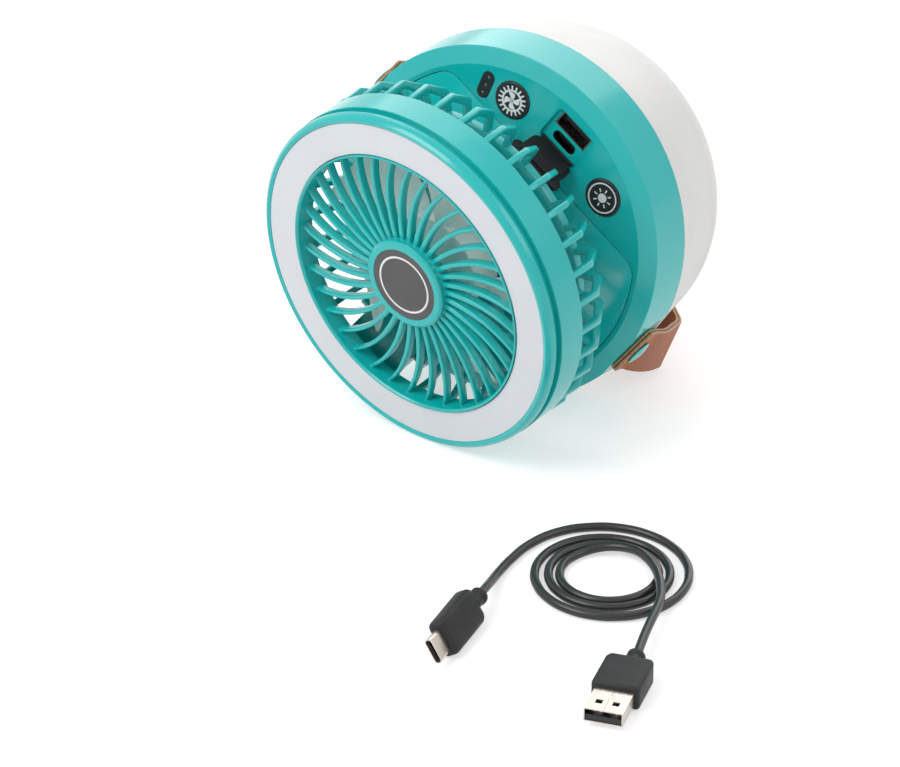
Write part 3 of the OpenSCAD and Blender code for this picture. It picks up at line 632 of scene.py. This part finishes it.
# ---- charging lead -----------------------------------------------------------------------------
CABLE_D = 2.9
LEAD_IN = [(-6.2, -153.1, 6.06), (-4.3, -146.5, 4.7), (-2.6, -140.2, 3.1), (-0.3, -133, 1.9),
           (4, -124, 1.6), (10, -115, 1.6), (19, -107.5, 1.6)]
LEAD_OUT = [(46.6, -129.6, 4.7), (48.4, -135, 4.8), (49.4, -141, 4.8), (49.6, -147, 4.8),
            (49.2, -153, 4.8), (47.8, -159, 4.8), (46, -165, 4.7), (44.2, -171, 4.5),
            (42.6, -177, 4.4), (40.7, -185, 4.3)]
COIL_MIDDLE = (33.4, -133)
COIL_START = 97
COIL_TOTAL = 1140
COIL_STEP = 20
COIL_LONG = 1.05
# the coil's radius by turns, and the height of its middle line by degrees
COIL_REACH = [(0, 27.5), (1, 20.8), (2, 17.2), (3.2, 13)]
COIL_RISE = [(0, 1.6), (1050, 1.6), (COIL_TOTAL, 4.5)]

# each plug is drawn along +Z from the end of the cable, its flat sides towards -X and +X
PLUG_A_HEADING = -108.5
PLUG_C_HEADING = -113.5
PLUG_C_ROLL = -60
PLUG_A = MM @ shift(*LEAD_OUT[-1]) @ turn(PLUG_A_HEADING, "Z") @ turn(90, "Y")
PLUG_C = (MM @ shift(*LEAD_IN[0]) @ turn(PLUG_C_HEADING, "Z") @ turn(90, "Y")
          @ turn(PLUG_C_ROLL, "Z"))
COLLAR_LONG = 5
COLLAR_R = 2.9
COLLAR_FOOT = 1.6
# rise and growth of each step of the collar above its foot
COLLAR_STEPS = [(0.35, 0.86), (1.6, 1.0), (1.2, 1.03), (1.4, 1.12)]
SHOULDER = 3
SHOULDER_IN = (1.2, 1.6)
PLUG_A_CONTACT = (0.16, 1.0, 8.6)
PLUG_A_CONTACTS = [(-0.02, across, 28.8) for across in (-3.6, -1.2, 1.2, 3.6)]
PLUG_A_FACE = -2.25
# the locking seam of the type A shell, as (across, along)
PLUG_A_SEAM = [(0, 23.4), (0, 26.6), (0.9, 26.6), (1.25, 28.4), (-0.35, 28.4), (0, 30.2), (0, 35.2)]
SEAM_R = 0.05
C_SHELL = (2.5, 8.3, 7.2)
C_SHELL_Z = 31.6
C_SHELL_CORNER = 1.2
C_SHELL_WALL = 0.3
C_SHELL_DEEP = 6
C_BLOCK = (1.86, 7.4, 4.8)
C_BLOCK_Z = 31.9
C_BLOCK_WALL = 0.42
C_BLOCK_DEEP = 3.4


def look_up(x, table):
    """The value at x in a table of (x, y) rows, straight between them."""
    for (x0, y0), (x1, y1) in zip(table, table[1:]):
        if x <= x1:
            return y0 + (y1 - y0) * (x - x0) / (x1 - x0)
    return table[-1][1]


def lead_route():
    """The cable's middle line: out of the type C plug, three turns and up to type A."""
    turns = []
    for angle in range(0, COIL_TOTAL + 1, COIL_STEP):
        reach = look_up(angle / 360, COIL_REACH)
        way = math.radians(COIL_START - angle)
        turns.append((COIL_MIDDLE[0] + reach * math.cos(way),
                      COIL_MIDDLE[1] + COIL_LONG * reach * math.sin(way),
                      look_up(angle, COIL_RISE)))
    return LEAD_IN + turns + LEAD_OUT


def lay_cable():
    """The lead's cable, a round curve along its whole route."""
    cable = draw_curve([MM @ Vector(point) for point in lead_route()], "AUTO")
    cable.name = "lead"
    curve = cable.data
    curve.dimensions = "3D"
    curve.resolution_u = 5
    curve.bevel_depth = CABLE_D / 2000
    curve.bevel_resolution = 5
    curve.use_fill_caps = True
    curve.materials.append(cable_jacket.material)
    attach(cable, "charging_lead")
    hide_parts("lead_cable")
    return cable


def make_grip(width, thick, length, corner):
    """Overmould of a plug: a softly cornered block whose shoulders draw in to a stepped collar."""
    straight = length - SHOULDER
    body = block((thick, width, straight), (0, 0, COLLAR_LONG + SHOULDER + straight / 2))
    pick_faces(body, faces_down)
    pull(-SHOULDER)
    widen((thick - SHOULDER_IN[0]) / thick, (width - SHOULDER_IN[1]) / width)
    bpy.ops.object.mode_set(mode="OBJECT")
    add_bevel(body, corner, 6)
    finish_mesh(body)
    collar = drum(COLLAR_R, 0, COLLAR_FOOT, sides=48)
    pick_faces(collar, faces_up)
    for rise, grow in COLLAR_STEPS:
        pull(rise)
        widen(grow, grow)
    bpy.ops.object.mode_set(mode="OBJECT")
    add_bevel(collar, 0.4, 4)
    finish_mesh(collar)
    return join("grip", body, collar)


def make_strips(size, middles, edge):
    """A row of contacts, one at each middle."""
    strips = []
    for middle in middles:
        strip = block(size, middle)
        add_bevel(strip, edge, 2)
        strips.append(finish_mesh(strip))
    return join("strips", *strips)


def hollow_out(piece, wall, deep):
    """Sinks the top face of a piece inside a wall."""
    pick_faces(piece, faces_up)
    bpy.ops.mesh.inset(thickness=wall)
    pull(-deep)
    bpy.ops.object.mode_set(mode="OBJECT")


def make_plug_a():
    """Grip, contacts and seam of the type A plug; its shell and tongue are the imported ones."""
    grip = make_grip(width=15, thick=8, length=18.3, corner=1.3)
    place(grip, "plug_a_grip", PLUG_A, "charging_lead", "cable_jacket", grip_rubber,
          "usb_a_plug_grip")
    contacts = make_strips(PLUG_A_CONTACT, PLUG_A_CONTACTS, edge=0.07)
    place(contacts, "plug_a_contacts", PLUG_A, "charging_lead", "bright_metal", brass)
    seam = draw_curve([(PLUG_A_FACE, *point) for point in PLUG_A_SEAM], "VECTOR").data
    seam.dimensions = "3D"
    seam.bevel_depth = SEAM_R
    seam.bevel_resolution = 1
    seam = place(to_mesh(), "plug_a_seam", PLUG_A, "charging_lead", "black_plastic", black_plastic)
    return [grip, contacts, seam]


def make_plug_c():
    """Grip, rolled metal shell and inner block of the type C plug, which leans on its edge."""
    grip = make_grip(width=12, thick=6.2, length=23.5, corner=1.9)
    place(grip, "plug_c_grip", PLUG_C, "charging_lead", "cable_jacket", grip_rubber,
          "usb_c_plug_grip")
    shell = block(C_SHELL, (0, 0, C_SHELL_Z))
    round_corners(shell, C_SHELL_CORNER)
    hollow_out(shell, C_SHELL_WALL, C_SHELL_DEEP)
    add_bevel(shell, 0.08, 2, 60)
    finish_mesh(shell)
    place(shell, "plug_c_shell", PLUG_C, "charging_lead", "bright_metal", bright_metal,
          "usb_c_plug_shell")
    inner = block(C_BLOCK, (0, 0, C_BLOCK_Z))
    hollow_out(inner, C_BLOCK_WALL, C_BLOCK_DEEP)
    add_bevel(inner, 0.2, 3)
    finish_mesh(inner)
    place(inner, "plug_c_block", PLUG_C, "charging_lead", "black_plastic", black_plastic)
    return [grip, shell, inner]


def make_lead():
    """The lead as one loose cord that carries both its plugs."""
    cable = lay_cable()
    pieces = make_plug_a() + make_plug_c()
    pieces += [nodes["usb_a_plug_shell"], nodes["usb_a_plug_tongue"]]


# ---- carrying strap ----------------------------------------------------------------------------
STRAP_W = 17.5
STRAP_T = 2.2
STRAP_SEAT = 61.5
STRAP_END = 5.4
STRAP_REACH = 73.044
STRAP_STATIONS = 150
# sideways from the seat on the flat, and share of the reach from the rivets to the back run
STRAP_RUN = [(0, 0.054), (0.8, 0.116), (1.6, 0.204), (1.9, 0.3), (1.8, 0.408), (1.5, 0.517),
             (1.1, 0.585), (0.5, 0.612), (-0.8, 0.652), (-3, 0.687), (-6.8, 0.73), (-14, 0.801),
             (-23.5, 0.882), (-34.5, 0.948), (-47, 0.988)]
# how far the lower edge stands out from the band's middle, by the knots from the end
STRAP_LEAN = [0, 0, 0.45, 0.9, 1.65, 2.4, 2.7, 3, 3, 3, 3, 2.55, 2.1, 1.4, 0.7, 0]
# the joint between the plies is a shallow groove along both cut edges, deepest on its middle line
GROOVE_LINES = (-0.3, -0.15, 0, 0.15, 0.3)
GROOVE_DEEP = 0.25
JOINT_HALF = 0.2
# the leather is raw this far in from its sides and ends, below its skin; its rolled edge partly so
CUT_SIDE = 0.55
CUT_END = 0.4
CUT_SKIN = 0.05
ROLLED_RAW = 0.7


def make_strap_line():
    """Middle line of the band from rivet to rivet; the tilt of a knot leans the band there."""
    half = [(STRAP_SEAT, -STRAP_END)]
    half += [(STRAP_SEAT + x, share * STRAP_REACH) for x, share in STRAP_RUN]
    route = half + [(-x, y) for x, y in reversed(half)]
    line = draw_curve([(x, y, 0) for x, y in route], "AUTO")
    line.data.dimensions = "3D"
    line.data.twist_mode = "Z_UP"
    line.data.resolution_u = 24
    leans = STRAP_LEAN + STRAP_LEAN[::-1]
    for knot, lean in zip(line.data.splines[0].bezier_points, leans):
        knot.tilt = -math.asin(lean / (STRAP_W / 2))
    return line


def mark_cut_edges(strap, length):
    """Marks for the leather how far each point belongs to a cut edge and to the ply joint."""
    cut = strap.data.attributes.new("cut_edge", "FLOAT", "POINT")
    joint = strap.data.attributes.new("ply_joint", "FLOAT", "POINT")
    for i, point in enumerate(strap.data.vertices):
        x, y, z = point.co.x, abs(point.co.y), abs(point.co.z)
        side = max(z - (STRAP_W / 2 - CUT_SIDE), 0) / CUT_SIDE
        end = 1 if x < CUT_END or x > length - CUT_END else 0
        raw = max(side, end)
        inside = y < STRAP_T / 2 - CUT_SKIN or end
        cut.data[i].value = raw if inside else side * ROLLED_RAW
        joint.data[i].value = raw if y < JOINT_HALF else 0


def make_strap():
    """A straight two-ply band with rolled edges, bent along the line it hangs in."""
    line = make_strap_line()
    length = line.data.splines[0].calc_length()
    strap = block((length, STRAP_T, STRAP_W), (length / 2, 0, 0))
    slice_held([(0, height, 0) for height in GROOVE_LINES], (0, 1, 0))
    pick_points(strap, lambda co: abs(co.y) < NEAR)
    widen(1, 1, (STRAP_W - 2 * GROOVE_DEEP) / STRAP_W)
    bpy.ops.object.mode_set(mode="OBJECT")
    add_bevel(strap, 0.5, 4, 60)
    hold(strap)
    bpy.ops.object.modifier_apply(modifier="edges")
    stations = range(1, STRAP_STATIONS)
    slice_held([(length * i / STRAP_STATIONS, 0, 0) for i in stations], (1, 0, 0))
    mark_cut_edges(strap, length)
    bend = strap.modifiers.new("bend", "CURVE")
    bend.object = line
    bend.deform_axis = "POS_X"
    finish_mesh(strap, 40)
    bpy.data.objects.remove(line)
    place(strap, "strap_band", STRAP, "strap", "leather", leather, "carry_strap")


# ---- fan head ----------------------------------------------------------------------------------
HEAD_R = 60.6
HEAD_WALL = 2.2
HEAD_FRONT = 34
BAND_BACK = 17.5
BAND_FRONT = 28

# profiles are (radius, height) points; this one runs over the bezel, the channel and the inner lip
LIP_R = 45.5
CHANNEL_R = 58.3
CHANNEL_FLOOR = 26.5
CHANNEL_TOP = 28
BEZEL = [(57.6, 33.6), (58.8, HEAD_FRONT), (59.8, 33.3), (60.3, 32), (60.3, 30.5), (59, 30.2),
         (59, BAND_FRONT), (CHANNEL_R, BAND_FRONT), (CHANNEL_R, CHANNEL_FLOOR),
         (LIP_R, CHANNEL_FLOOR), (LIP_R, 33.4), (LIP_R + 0.5, HEAD_FRONT), (46.5, HEAD_FRONT),
         (46.7, CHANNEL_TOP), (57.6, CHANNEL_TOP)]

HUB_R = 15.7
HUB_BACK = 27.2
HUB_TOP = 33.7
BADGE_SEAT_R = 12.8
BADGE_BACK = 32.4
HUB = [(0, HUB_BACK), (HUB_R - 1, HUB_BACK), (HUB_R, HUB_BACK + 0.7), (HUB_R, HUB_TOP - 0.6),
       (HUB_R - 0.8, HUB_TOP), (BADGE_SEAT_R, HUB_TOP), (BADGE_SEAT_R, BADGE_BACK),
       (0, BADGE_BACK)]

RIBS = 36
RIB_TOP = 31.4
RIB_DEEP = 3.2
RIB_EDGE = 0.55
RIB_THICK = (1.9, 1.2)
RIB_SWEEP = 12
RIB_CURVE = 1.7
RIB_STEPS = 8
# how far a rib reaches into the hub and into the lip
RIB_ROOTS = (0.6, 0.65)

SCREWS = 4
SCREW_TURN = 45
SCREW_AT = 55.4
LUG_R = 3.4
LUG_HOLE_R = 1.3
LUG_T = 3
BOSS_R = 2.6
BOSS_HOLE_R = 1.15
BOSS_BACK = BAND_BACK + LUG_T + 0.1
BOSS_FRONT = CHANNEL_FLOOR + 0.75

BACK_RING_R = 46
BACK_RING_HALF = 1.7
BACK_RING_T = 3.2
# one open fin, as (radius, height) points: from the band down its outside to the back ring and back
HOOP = [(59.1, 18.5), (60.2, 18.5), (60.5, 17.3), (61.1, 8.8), (60.4, 7.6), (55.6, 0.3), (54.4, 0),
        (BACK_RING_R, 0), (BACK_RING_R, 2.9), (53.7, 2.9), (58.4, 9.3), (58.4, 17.3)]
FIN_PLACES = 36
FIN_T = 2.1
FIN_EDGE = 0.5
# the knuckle stands where these fins would
HINGE_FINS = (26, 27, 28)

CAGE_EDGE = 0.4
MID_RING_R = (33.6, 31.4)
MID_RING_Z = (0.3, 2.9)
SPOKES = 18
SPOKE = (27.6, 2.2, 3.2)
SPOKE_AT = 31.8
SPOKE_TURN = 10
SEAT_R = 19
MOTOR_R = 15.1
MOTOR_SEAT = [(0, 0), (SEAT_R, 0), (SEAT_R, 5.4), (MOTOR_R, 5.4), (MOTOR_R, 2.4), (0, 2.4)]

# the knuckle's side view, as (y, height) points round the hinge's axis
AXIS_Z = HINGE_Z - SHUT_GAP
KNUCKLE = [(-60.2, 18.5), (-59.1, 18.5), (-49.1, AXIS_Z + 4.2), (-46, 2.7), (-46, 0.5),
           (-49.5, 0.5), (-52.5, AXIS_Z - 1), (-56.4, AXIS_Z + 0.6), (-58.9, AXIS_Z + 2.6)]
KNUCKLE_W = 22
BARREL_R = 3.4
PIN_HOLE_R = 1.55


def rib_outline():
    """Outline of one swept rib, thinner towards the ring."""
    near, far = HUB_R - RIB_ROOTS[0], LIP_R + RIB_ROOTS[1]
    spine = []
    for i in range(RIB_STEPS + 1):
        share = i / RIB_STEPS
        way = math.radians(-RIB_SWEEP * share ** RIB_CURVE)
        reach = near + (far - near) * share
        spine.append(Vector((reach * math.cos(way), reach * math.sin(way))))
    sides = ([], [])
    for i, point in enumerate(spine):
        along = (spine[min(i + 1, RIB_STEPS)] - spine[max(i - 1, 0)]).normalized()
        half = (RIB_THICK[0] + (RIB_THICK[1] - RIB_THICK[0]) * i / RIB_STEPS) / 2
        sides[0].append(point + half * Vector((along.y, -along.x)))
        sides[1].append(point - half * Vector((along.y, -along.x)))
    return sides[0] + sides[1][::-1]


def at_screws(piece, name):
    """Repeats a piece drawn on Z at every screw of the cage."""
    piece.data.transform(turn(SCREW_TURN, "Z") @ shift(SCREW_AT, 0, 0))
    return repeat_round(piece, name, SCREWS)


def make_grille():
    """Bezel with the light ring's channel, the swept ribs and the hub round the badge."""
    ring = lathe(BEZEL)
    rib = cut_out(rib_outline(), RIB_DEEP, RIB_EDGE)
    rib.data.transform(shift(0, 0, RIB_TOP - RIB_DEEP / 2))
    ribs = repeat_round(rib, "ribs", RIBS)
    hub = lathe(HUB)
    bosses = at_screws(tube(BOSS_R, BOSS_HOLE_R, BOSS_BACK, BOSS_FRONT, steps=32), "bosses")
    grille = join("grille", ring, ribs, hub, bosses)
    place(grille, "grille_ribs", HEAD, "fan_head", "teal_shell", teal_shell, "front_grille")


def make_cage():
    """Back of the head: band, open fins, rings, spokes, the motor's seat and the knuckle."""
    band = tube(HEAD_R, HEAD_R - HEAD_WALL, BAND_BACK, BAND_FRONT)
    hoop = cut_out(HOOP, FIN_T, FIN_EDGE)
    hoop.data.transform(turn(90, "X"))
    hoops = repeat_round(hoop, "hoops", FIN_PLACES, skipped=HINGE_FINS)
    back_ring = tube(BACK_RING_R + BACK_RING_HALF, BACK_RING_R - BACK_RING_HALF,
                     0, BACK_RING_T, CAGE_EDGE)
    mid_ring = tube(*MID_RING_R, *MID_RING_Z, CAGE_EDGE)
    spoke = block(SPOKE, (SPOKE_AT, 0, SPOKE[2] / 2))
    add_bevel(spoke, CAGE_EDGE, 3)
    finish_mesh(spoke)
    spoke.data.transform(turn(SPOKE_TURN, "Z"))
    spokes = repeat_round(spoke, "spokes", SPOKES)
    seat = lathe(MOTOR_SEAT)
    lugs = at_screws(tube(LUG_R, LUG_HOLE_R, BAND_BACK, BAND_BACK + LUG_T, steps=40), "lugs")
    knuckle = cut_out(KNUCKLE, KNUCKLE_W, 0.3)
    knuckle.data.transform(turn(90, "Z") @ turn(90, "X"))
    barrel = tube(BARREL_R, PIN_HOLE_R, -KNUCKLE_W / 2, KNUCKLE_W / 2, 0.3, 48)
    barrel.data.transform(shift(0, -HINGE_Y, AXIS_Z) @ turn(90, "Y"))
    cage = join("cage", band, hoops, back_ring, mid_ring, spokes, seat, lugs, knuckle, barrel)
    place(cage, "cage_hoops", HEAD, "fan_head", "teal_shell", teal_shell, "rear_cage")


# ---- impeller ----------------------------------------------------------------------------------
CAP_R = 17
CAP_BACK = 5.8
CAP_FRONT = 18.4
CAP_WALL = 1.3
CAP_DEEP = 10.6
BLADES = 5
BLADE_MID = 14.8
BLADE_T = 1.2
BLADE_TURN = 28
# radius, chord, pitch and lead of a blade
BLADE_STATIONS = [(16.2, 15, 42, -5), (22, 19.2, 37, -2.6), (28, 23, 33, 0), (34, 27, 28.6, 3.3),
                  (39, 29.6, 26, 5.8), (41.4, 29.6, 25, 7), (42.6, 27, 24.6, 7.6)]
# a finished row of points waits this far out, so that the next pick doesn't find it
ASIDE = 100


def make_blade():
    """A sheet shaped row by row, then thickened and smoothed."""
    deselect()
    rows = len(BLADE_STATIONS) - 1
    bpy.ops.mesh.primitive_grid_add(x_subdivisions=rows, y_subdivisions=8, size=2)
    blade = bpy.context.object
    step = 2 / rows
    for i, (radius, chord, pitch, lead) in enumerate(BLADE_STATIONS):
        here = -1 + i * step
        pick_points(blade, lambda co: abs(co.x - here) < step / 4)
        widen(1, chord / 2, about=(here, 0, 0))
        spin_selected(pitch, "X", (here, 0, 0))
        bpy.ops.transform.translate(value=(radius - here + ASIDE, 0, BLADE_MID))
        spin_selected(lead, "Z", (ASIDE, 0, 0))
        bpy.ops.object.mode_set(mode="OBJECT")
    blade.data.transform(shift(-ASIDE, 0, 0))
    add_wall(blade, BLADE_T)
    smooth = blade.modifiers.new("smooth", "SUBSURF")
    smooth.levels = smooth.render_levels = 2
    return finish_mesh(blade, 60)


def make_impeller():
    """Five lofted blades round a hollow cap, turned about their own axle."""
    blades = repeat_round(make_blade(), "blades", BLADES)
    cap = drum(CAP_R, CAP_BACK, CAP_FRONT, sides=96)
    pick_faces(cap, faces_down)
    bpy.ops.mesh.inset(thickness=CAP_WALL)
    pull(CAP_DEEP)
    bpy.ops.object.mode_set(mode="OBJECT")
    add_bevel(cap, 0.9, 4, 50)
    finish_mesh(cap)
    place(join("wheel", cap, blades), "impeller_wheel", HEAD @ turn(BLADE_TURN, "Z"), "fan_rotor",
          "impeller_plastic", impeller_plastic, "impeller")


# ---- prints and small trim ---------------------------------------------------------------------
PRINT_T = 0.05
BUTTON_X = 21.75
BUTTON_Y = 40.1
BUTTON_TOP = 0.5
SUN_TURN = 8
FAN_TURN = 26
BADGE_TOP = 33.6
# how far each row of a petal goes out and aside, and how much it widens
PETAL_ROWS = [(0.65, 0.05, 1.3), (0.65, 0.22, 1.5), (0.55, 0.28, 1.1), (0.3, 0.1, 0.75)]
PILL_AT = (-32, 36.5)
PILL_TURN = 14
LENS_ROWS = (-3, 0, 3)
LENS_R = 0.7
LENS_FLAT = 0.75
LENS_Z = -0.42
COVER_AT = (0, 39.5, -0.4)
COVER_OPEN = 97
OUTLET_CONTACT = (1.0, 0.16, 6.6)
OUTLET_CONTACTS = [(across, 48.62, -6.4) for across in (-3.5, -1.0, 1.0, 3.5)]


def flat_ring(outer, inner, height):
    """A printed ring lying on height."""
    deselect()
    bpy.ops.mesh.primitive_circle_add(vertices=96, radius=outer,
                                      location=(0, 0, height + PRINT_T / 2))
    ring = bpy.context.object
    bpy.ops.object.transform_apply(location=True)
    bpy.ops.object.mode_set(mode="EDIT")
    bpy.ops.mesh.select_all(action="SELECT")
    bpy.ops.mesh.extrude_edges_move()
    widen(inner / outer, inner / outer)
    bpy.ops.object.mode_set(mode="OBJECT")
    add_wall(ring, PRINT_T)
    return finish_mesh(ring)


def flat_disc(radius, height):
    """A printed disc lying on height."""
    disc = drum(radius, height, height + PRINT_T, sides=64)
    add_bevel(disc, PRINT_T / 3, 1)
    return finish_mesh(disc)


def flat_tick(near, far, width, height):
    """A printed stroke with softened corners along +X from near to far."""
    tick = block((far - near, width, PRINT_T), ((near + far) / 2, 0, height + PRINT_T / 2))
    add_bevel(tick, width * 0.18, 2)
    return finish_mesh(tick)


def fan_petal(height):
    """One blade of the small fan sign: a swept paddle that widens outwards."""
    deselect()
    bpy.ops.mesh.primitive_plane_add(size=1, location=(0.4, 0, height + PRINT_T / 2))
    petal = bpy.context.object
    petal.scale = (0.5, 1.1, 1)
    bpy.ops.object.transform_apply(location=True, scale=True)
    pick_edges(petal, lambda one, other: min(one.x, other.x) > 0.6)
    for out, aside, grow in PETAL_ROWS:
        bpy.ops.mesh.extrude_edges_move(TRANSFORM_OT_translate={"value": (out, aside, 0)})
        bpy.ops.transform.resize(value=(1, grow, 1))
    bpy.ops.object.mode_set(mode="OBJECT")
    add_wall(petal, PRINT_T)
    return finish_mesh(petal)


def make_light_sign():
    """Lamp sign on the light button: a ring, a disc and eight rays."""
    ring = flat_ring(outer=5.3, inner=4.8, height=BUTTON_TOP)
    disc = flat_disc(radius=1.6, height=BUTTON_TOP)
    ray = flat_tick(near=2.15, far=3.4, width=0.5, height=BUTTON_TOP)
    rays = repeat_round(ray, "rays", 8)
    where = LANTERN @ shift(BUTTON_X, BUTTON_Y, 0) @ turn(SUN_TURN, "Z")
    place(join("sign", ring, disc, rays), "light_button_sign", where, "light_button",
          "badge_grey", print_white)


def make_fan_sign():
    """Fan sign on the fan button: a ring of short strokes round a four-bladed fan."""
    ring = flat_ring(outer=3.8, inner=3.15, height=BUTTON_TOP)
    tick = flat_tick(near=3.7, far=5.2, width=0.6, height=BUTTON_TOP)
    ticks = repeat_round(tick, "ticks", 18)
    hub = flat_disc(radius=0.75, height=BUTTON_TOP)
    petals = repeat_round(fan_petal(BUTTON_TOP), "petals", 4)
    where = LANTERN @ shift(-BUTTON_X, BUTTON_Y, 0) @ turn(FAN_TURN, "Z")
    place(join("sign", ring, ticks, hub, petals), "fan_button_sign", where, "fan_button",
          "badge_grey", print_white)


def make_badge_line():
    """The badge stays bare inside its printed line."""
    line = flat_ring(outer=10.35, inner=9.65, height=BADGE_TOP)
    place(line, "badge_line", HEAD, "fan_head", "badge_grey", print_white)


def make_indicator_lenses():
    """Three low domed lenses in the holes of the charge indicator."""
    lenses = []
    for row in LENS_ROWS:
        deselect()
        bpy.ops.mesh.primitive_uv_sphere_add(segments=24, ring_count=12, radius=LENS_R,
                                             location=(0, row, LENS_Z))
        lens = bpy.context.object
        lens.scale = (1, 1, LENS_FLAT)
        bpy.ops.object.transform_apply(location=True, scale=True)
        lenses.append(lens)
    lens = finish_mesh(join("lenses", *lenses))
    where = LANTERN @ shift(*PILL_AT, 0) @ turn(PILL_TURN, "Z")
    place(lens, "indicator_lenses", where, "lantern", "black_plastic", indicator_lens)


def soft_bar(size, middle, corner):
    """A rubber bar with rounded corners and soft edges."""
    bar = block(size, middle)
    round_corners(bar, corner)
    add_bevel(bar, 0.45, 4)
    return finish_mesh(bar)


def make_port_cover():
    """The rubber cover: a thick block with a web to its pin, two ears and a pad for the recess."""
    plate = soft_bar(size=(17, 12.4, 2.5), middle=(0, 7.15, 1.7), corner=2.2)
    ears = soft_bar(size=(21.6, 4.6, 1.9), middle=(0, 11.05, 1.5), corner=2.25)
    pad = soft_bar(size=(15.2, 10.6, 1.5), middle=(0, 6.9, 0.3), corner=1.7)
    oval = soft_bar(size=(6.4, 3.2, 0.4), middle=(0.4, 7.2, -0.36), corner=1.5)
    web = soft_bar(size=(13.2, 1.7, 0.85), middle=(0, 0.85, 0.42), corner=0.3)
    pin = finish_mesh(drum(radius=0.5, low=-7.1, high=7.1, sides=32))
    pin.data.transform(turn(90, "Y"))
    place(join("cover", plate, ears, pad, oval, web, pin), "cover_block",
          LANTERN @ shift(*COVER_AT) @ turn(COVER_OPEN, "X"), "port_cover", "black_rubber",
          black_rubber, "port_cover")


def make_outlet_inside():
    """Black tongue and contacts of the outlet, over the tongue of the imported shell."""
    tongue = block(size=(11.3, 2.1, 9.4), middle=(0, 49.75, -7.4))
    add_bevel(tongue, 0.25, 3)
    finish_mesh(tongue)
    place(tongue, "outlet_tongue", LANTERN, "lantern", "black_plastic", black_plastic)
    contacts = make_strips(OUTLET_CONTACT, OUTLET_CONTACTS, edge=0.06)
    place(contacts, "outlet_contacts", LANTERN, "lantern", "bright_metal", port_metal)


# ---- room --------------------------------------------------------------------------------------
WORLD_FILL = 0.62
FLOOR_SIZE = 8
FLOOR_GREY = 0.6
# the floor's own light, for other rays and for what is seen directly
FLOOR_GLOW = (0.3, 0.53)
LAMP_TARGET = (0, -0.02, 0.06)
# name, place, size and level, which is the share of full light on a white card at the fan
SOFTBOXES = [("softbox_behind", (0.35, 1.25, 0.95), 1.6, 0.46),
             ("softbox_front_left", (-1.0, -0.55, 1.25), 1.0, 0.58),
             ("softbox_right", (1.2, -0.5, 0.9), 0.8, 0.14)]


def seen_directly(tree):
    """1 for what the camera sees itself or in a reflection or through glass, else 0."""
    path = tree.nodes.new("ShaderNodeLightPath")
    add = tree.nodes.new("ShaderNodeMath")
    add.operation = "ADD"
    more = tree.nodes.new("ShaderNodeMath")
    more.operation = "ADD"
    more.use_clamp = True
    tree.links.new(path.outputs["Is Camera Ray"], add.inputs[0])
    tree.links.new(path.outputs["Is Glossy Ray"], add.inputs[1])
    tree.links.new(add.outputs[0], more.inputs[0])
    tree.links.new(path.outputs["Is Transmission Ray"], more.inputs[1])
    return more.outputs[0]


def strength_by_ray(tree, others, seen):
    """One strength for what is seen directly and another for all other rays."""
    strength = tree.nodes.new("ShaderNodeMapRange")
    strength.inputs["To Min"].default_value = others
    strength.inputs["To Max"].default_value = seen
    tree.links.new(seen_directly(tree), strength.inputs["Value"])
    return strength.outputs["Result"]


def set_world():
    """White surroundings, dimmer as a light than as seen."""
    world = bpy.data.worlds.new("studio")
    bpy.context.scene.world = world
    world.use_nodes = True
    tree = world.node_tree
    background = tree.nodes["Background"]
    background.inputs["Color"].default_value = (1, 1, 1, 1)
    tree.links.new(strength_by_ray(tree, WORLD_FILL, 1), background.inputs["Strength"])


def lay_floor():
    """A white table that stays evenly light to the eye and takes soft shadows."""
    deselect()
    bpy.ops.mesh.primitive_plane_add(size=FLOOR_SIZE, location=(0, 0, 0))
    floor = bpy.context.object
    floor.name = "floor"
    material = bpy.data.materials.new("white_table")
    material.use_nodes = True
    tree = material.node_tree
    shader = tree.nodes["Principled BSDF"]
    shader.inputs["Base Color"].default_value = (FLOOR_GREY, FLOOR_GREY, FLOOR_GREY, 1)
    shader.inputs["Roughness"].default_value = 0.9
    shader.inputs["Specular IOR Level"].default_value = 0
    shader.inputs["Emission Color"].default_value = (1, 1, 1, 1)
    tree.links.new(strength_by_ray(tree, *FLOOR_GLOW), shader.inputs["Emission Strength"])
    floor.data.materials.append(material)


def add_softbox(name, location, size, level):
    """A square lamp aimed at the fan."""
    away = Vector(location) - Vector(LAMP_TARGET)
    deselect()
    bpy.ops.object.light_add(type="AREA", location=location)
    lamp = bpy.context.object
    lamp.name = name
    lamp.rotation_euler = away.to_track_quat("Z", "Y").to_euler()
    lamp.data.shape = "SQUARE"
    lamp.data.size = size
    lamp.data.energy = level * (math.pi * away.length) ** 2


def set_room():
    set_world()
    lay_floor()
    for softbox in SOFTBOXES:
        add_softbox(*softbox)
    bpy.context.scene.view_settings.view_transform = "Standard"


set_camera()
make_lead()
dress_nodes()
make_strap()
make_grille()
make_cage()
make_impeller()
make_light_sign()
make_fan_sign()
make_badge_line()
make_indicator_lenses()
make_port_cover()
make_outlet_inside()
set_room()

deselect()
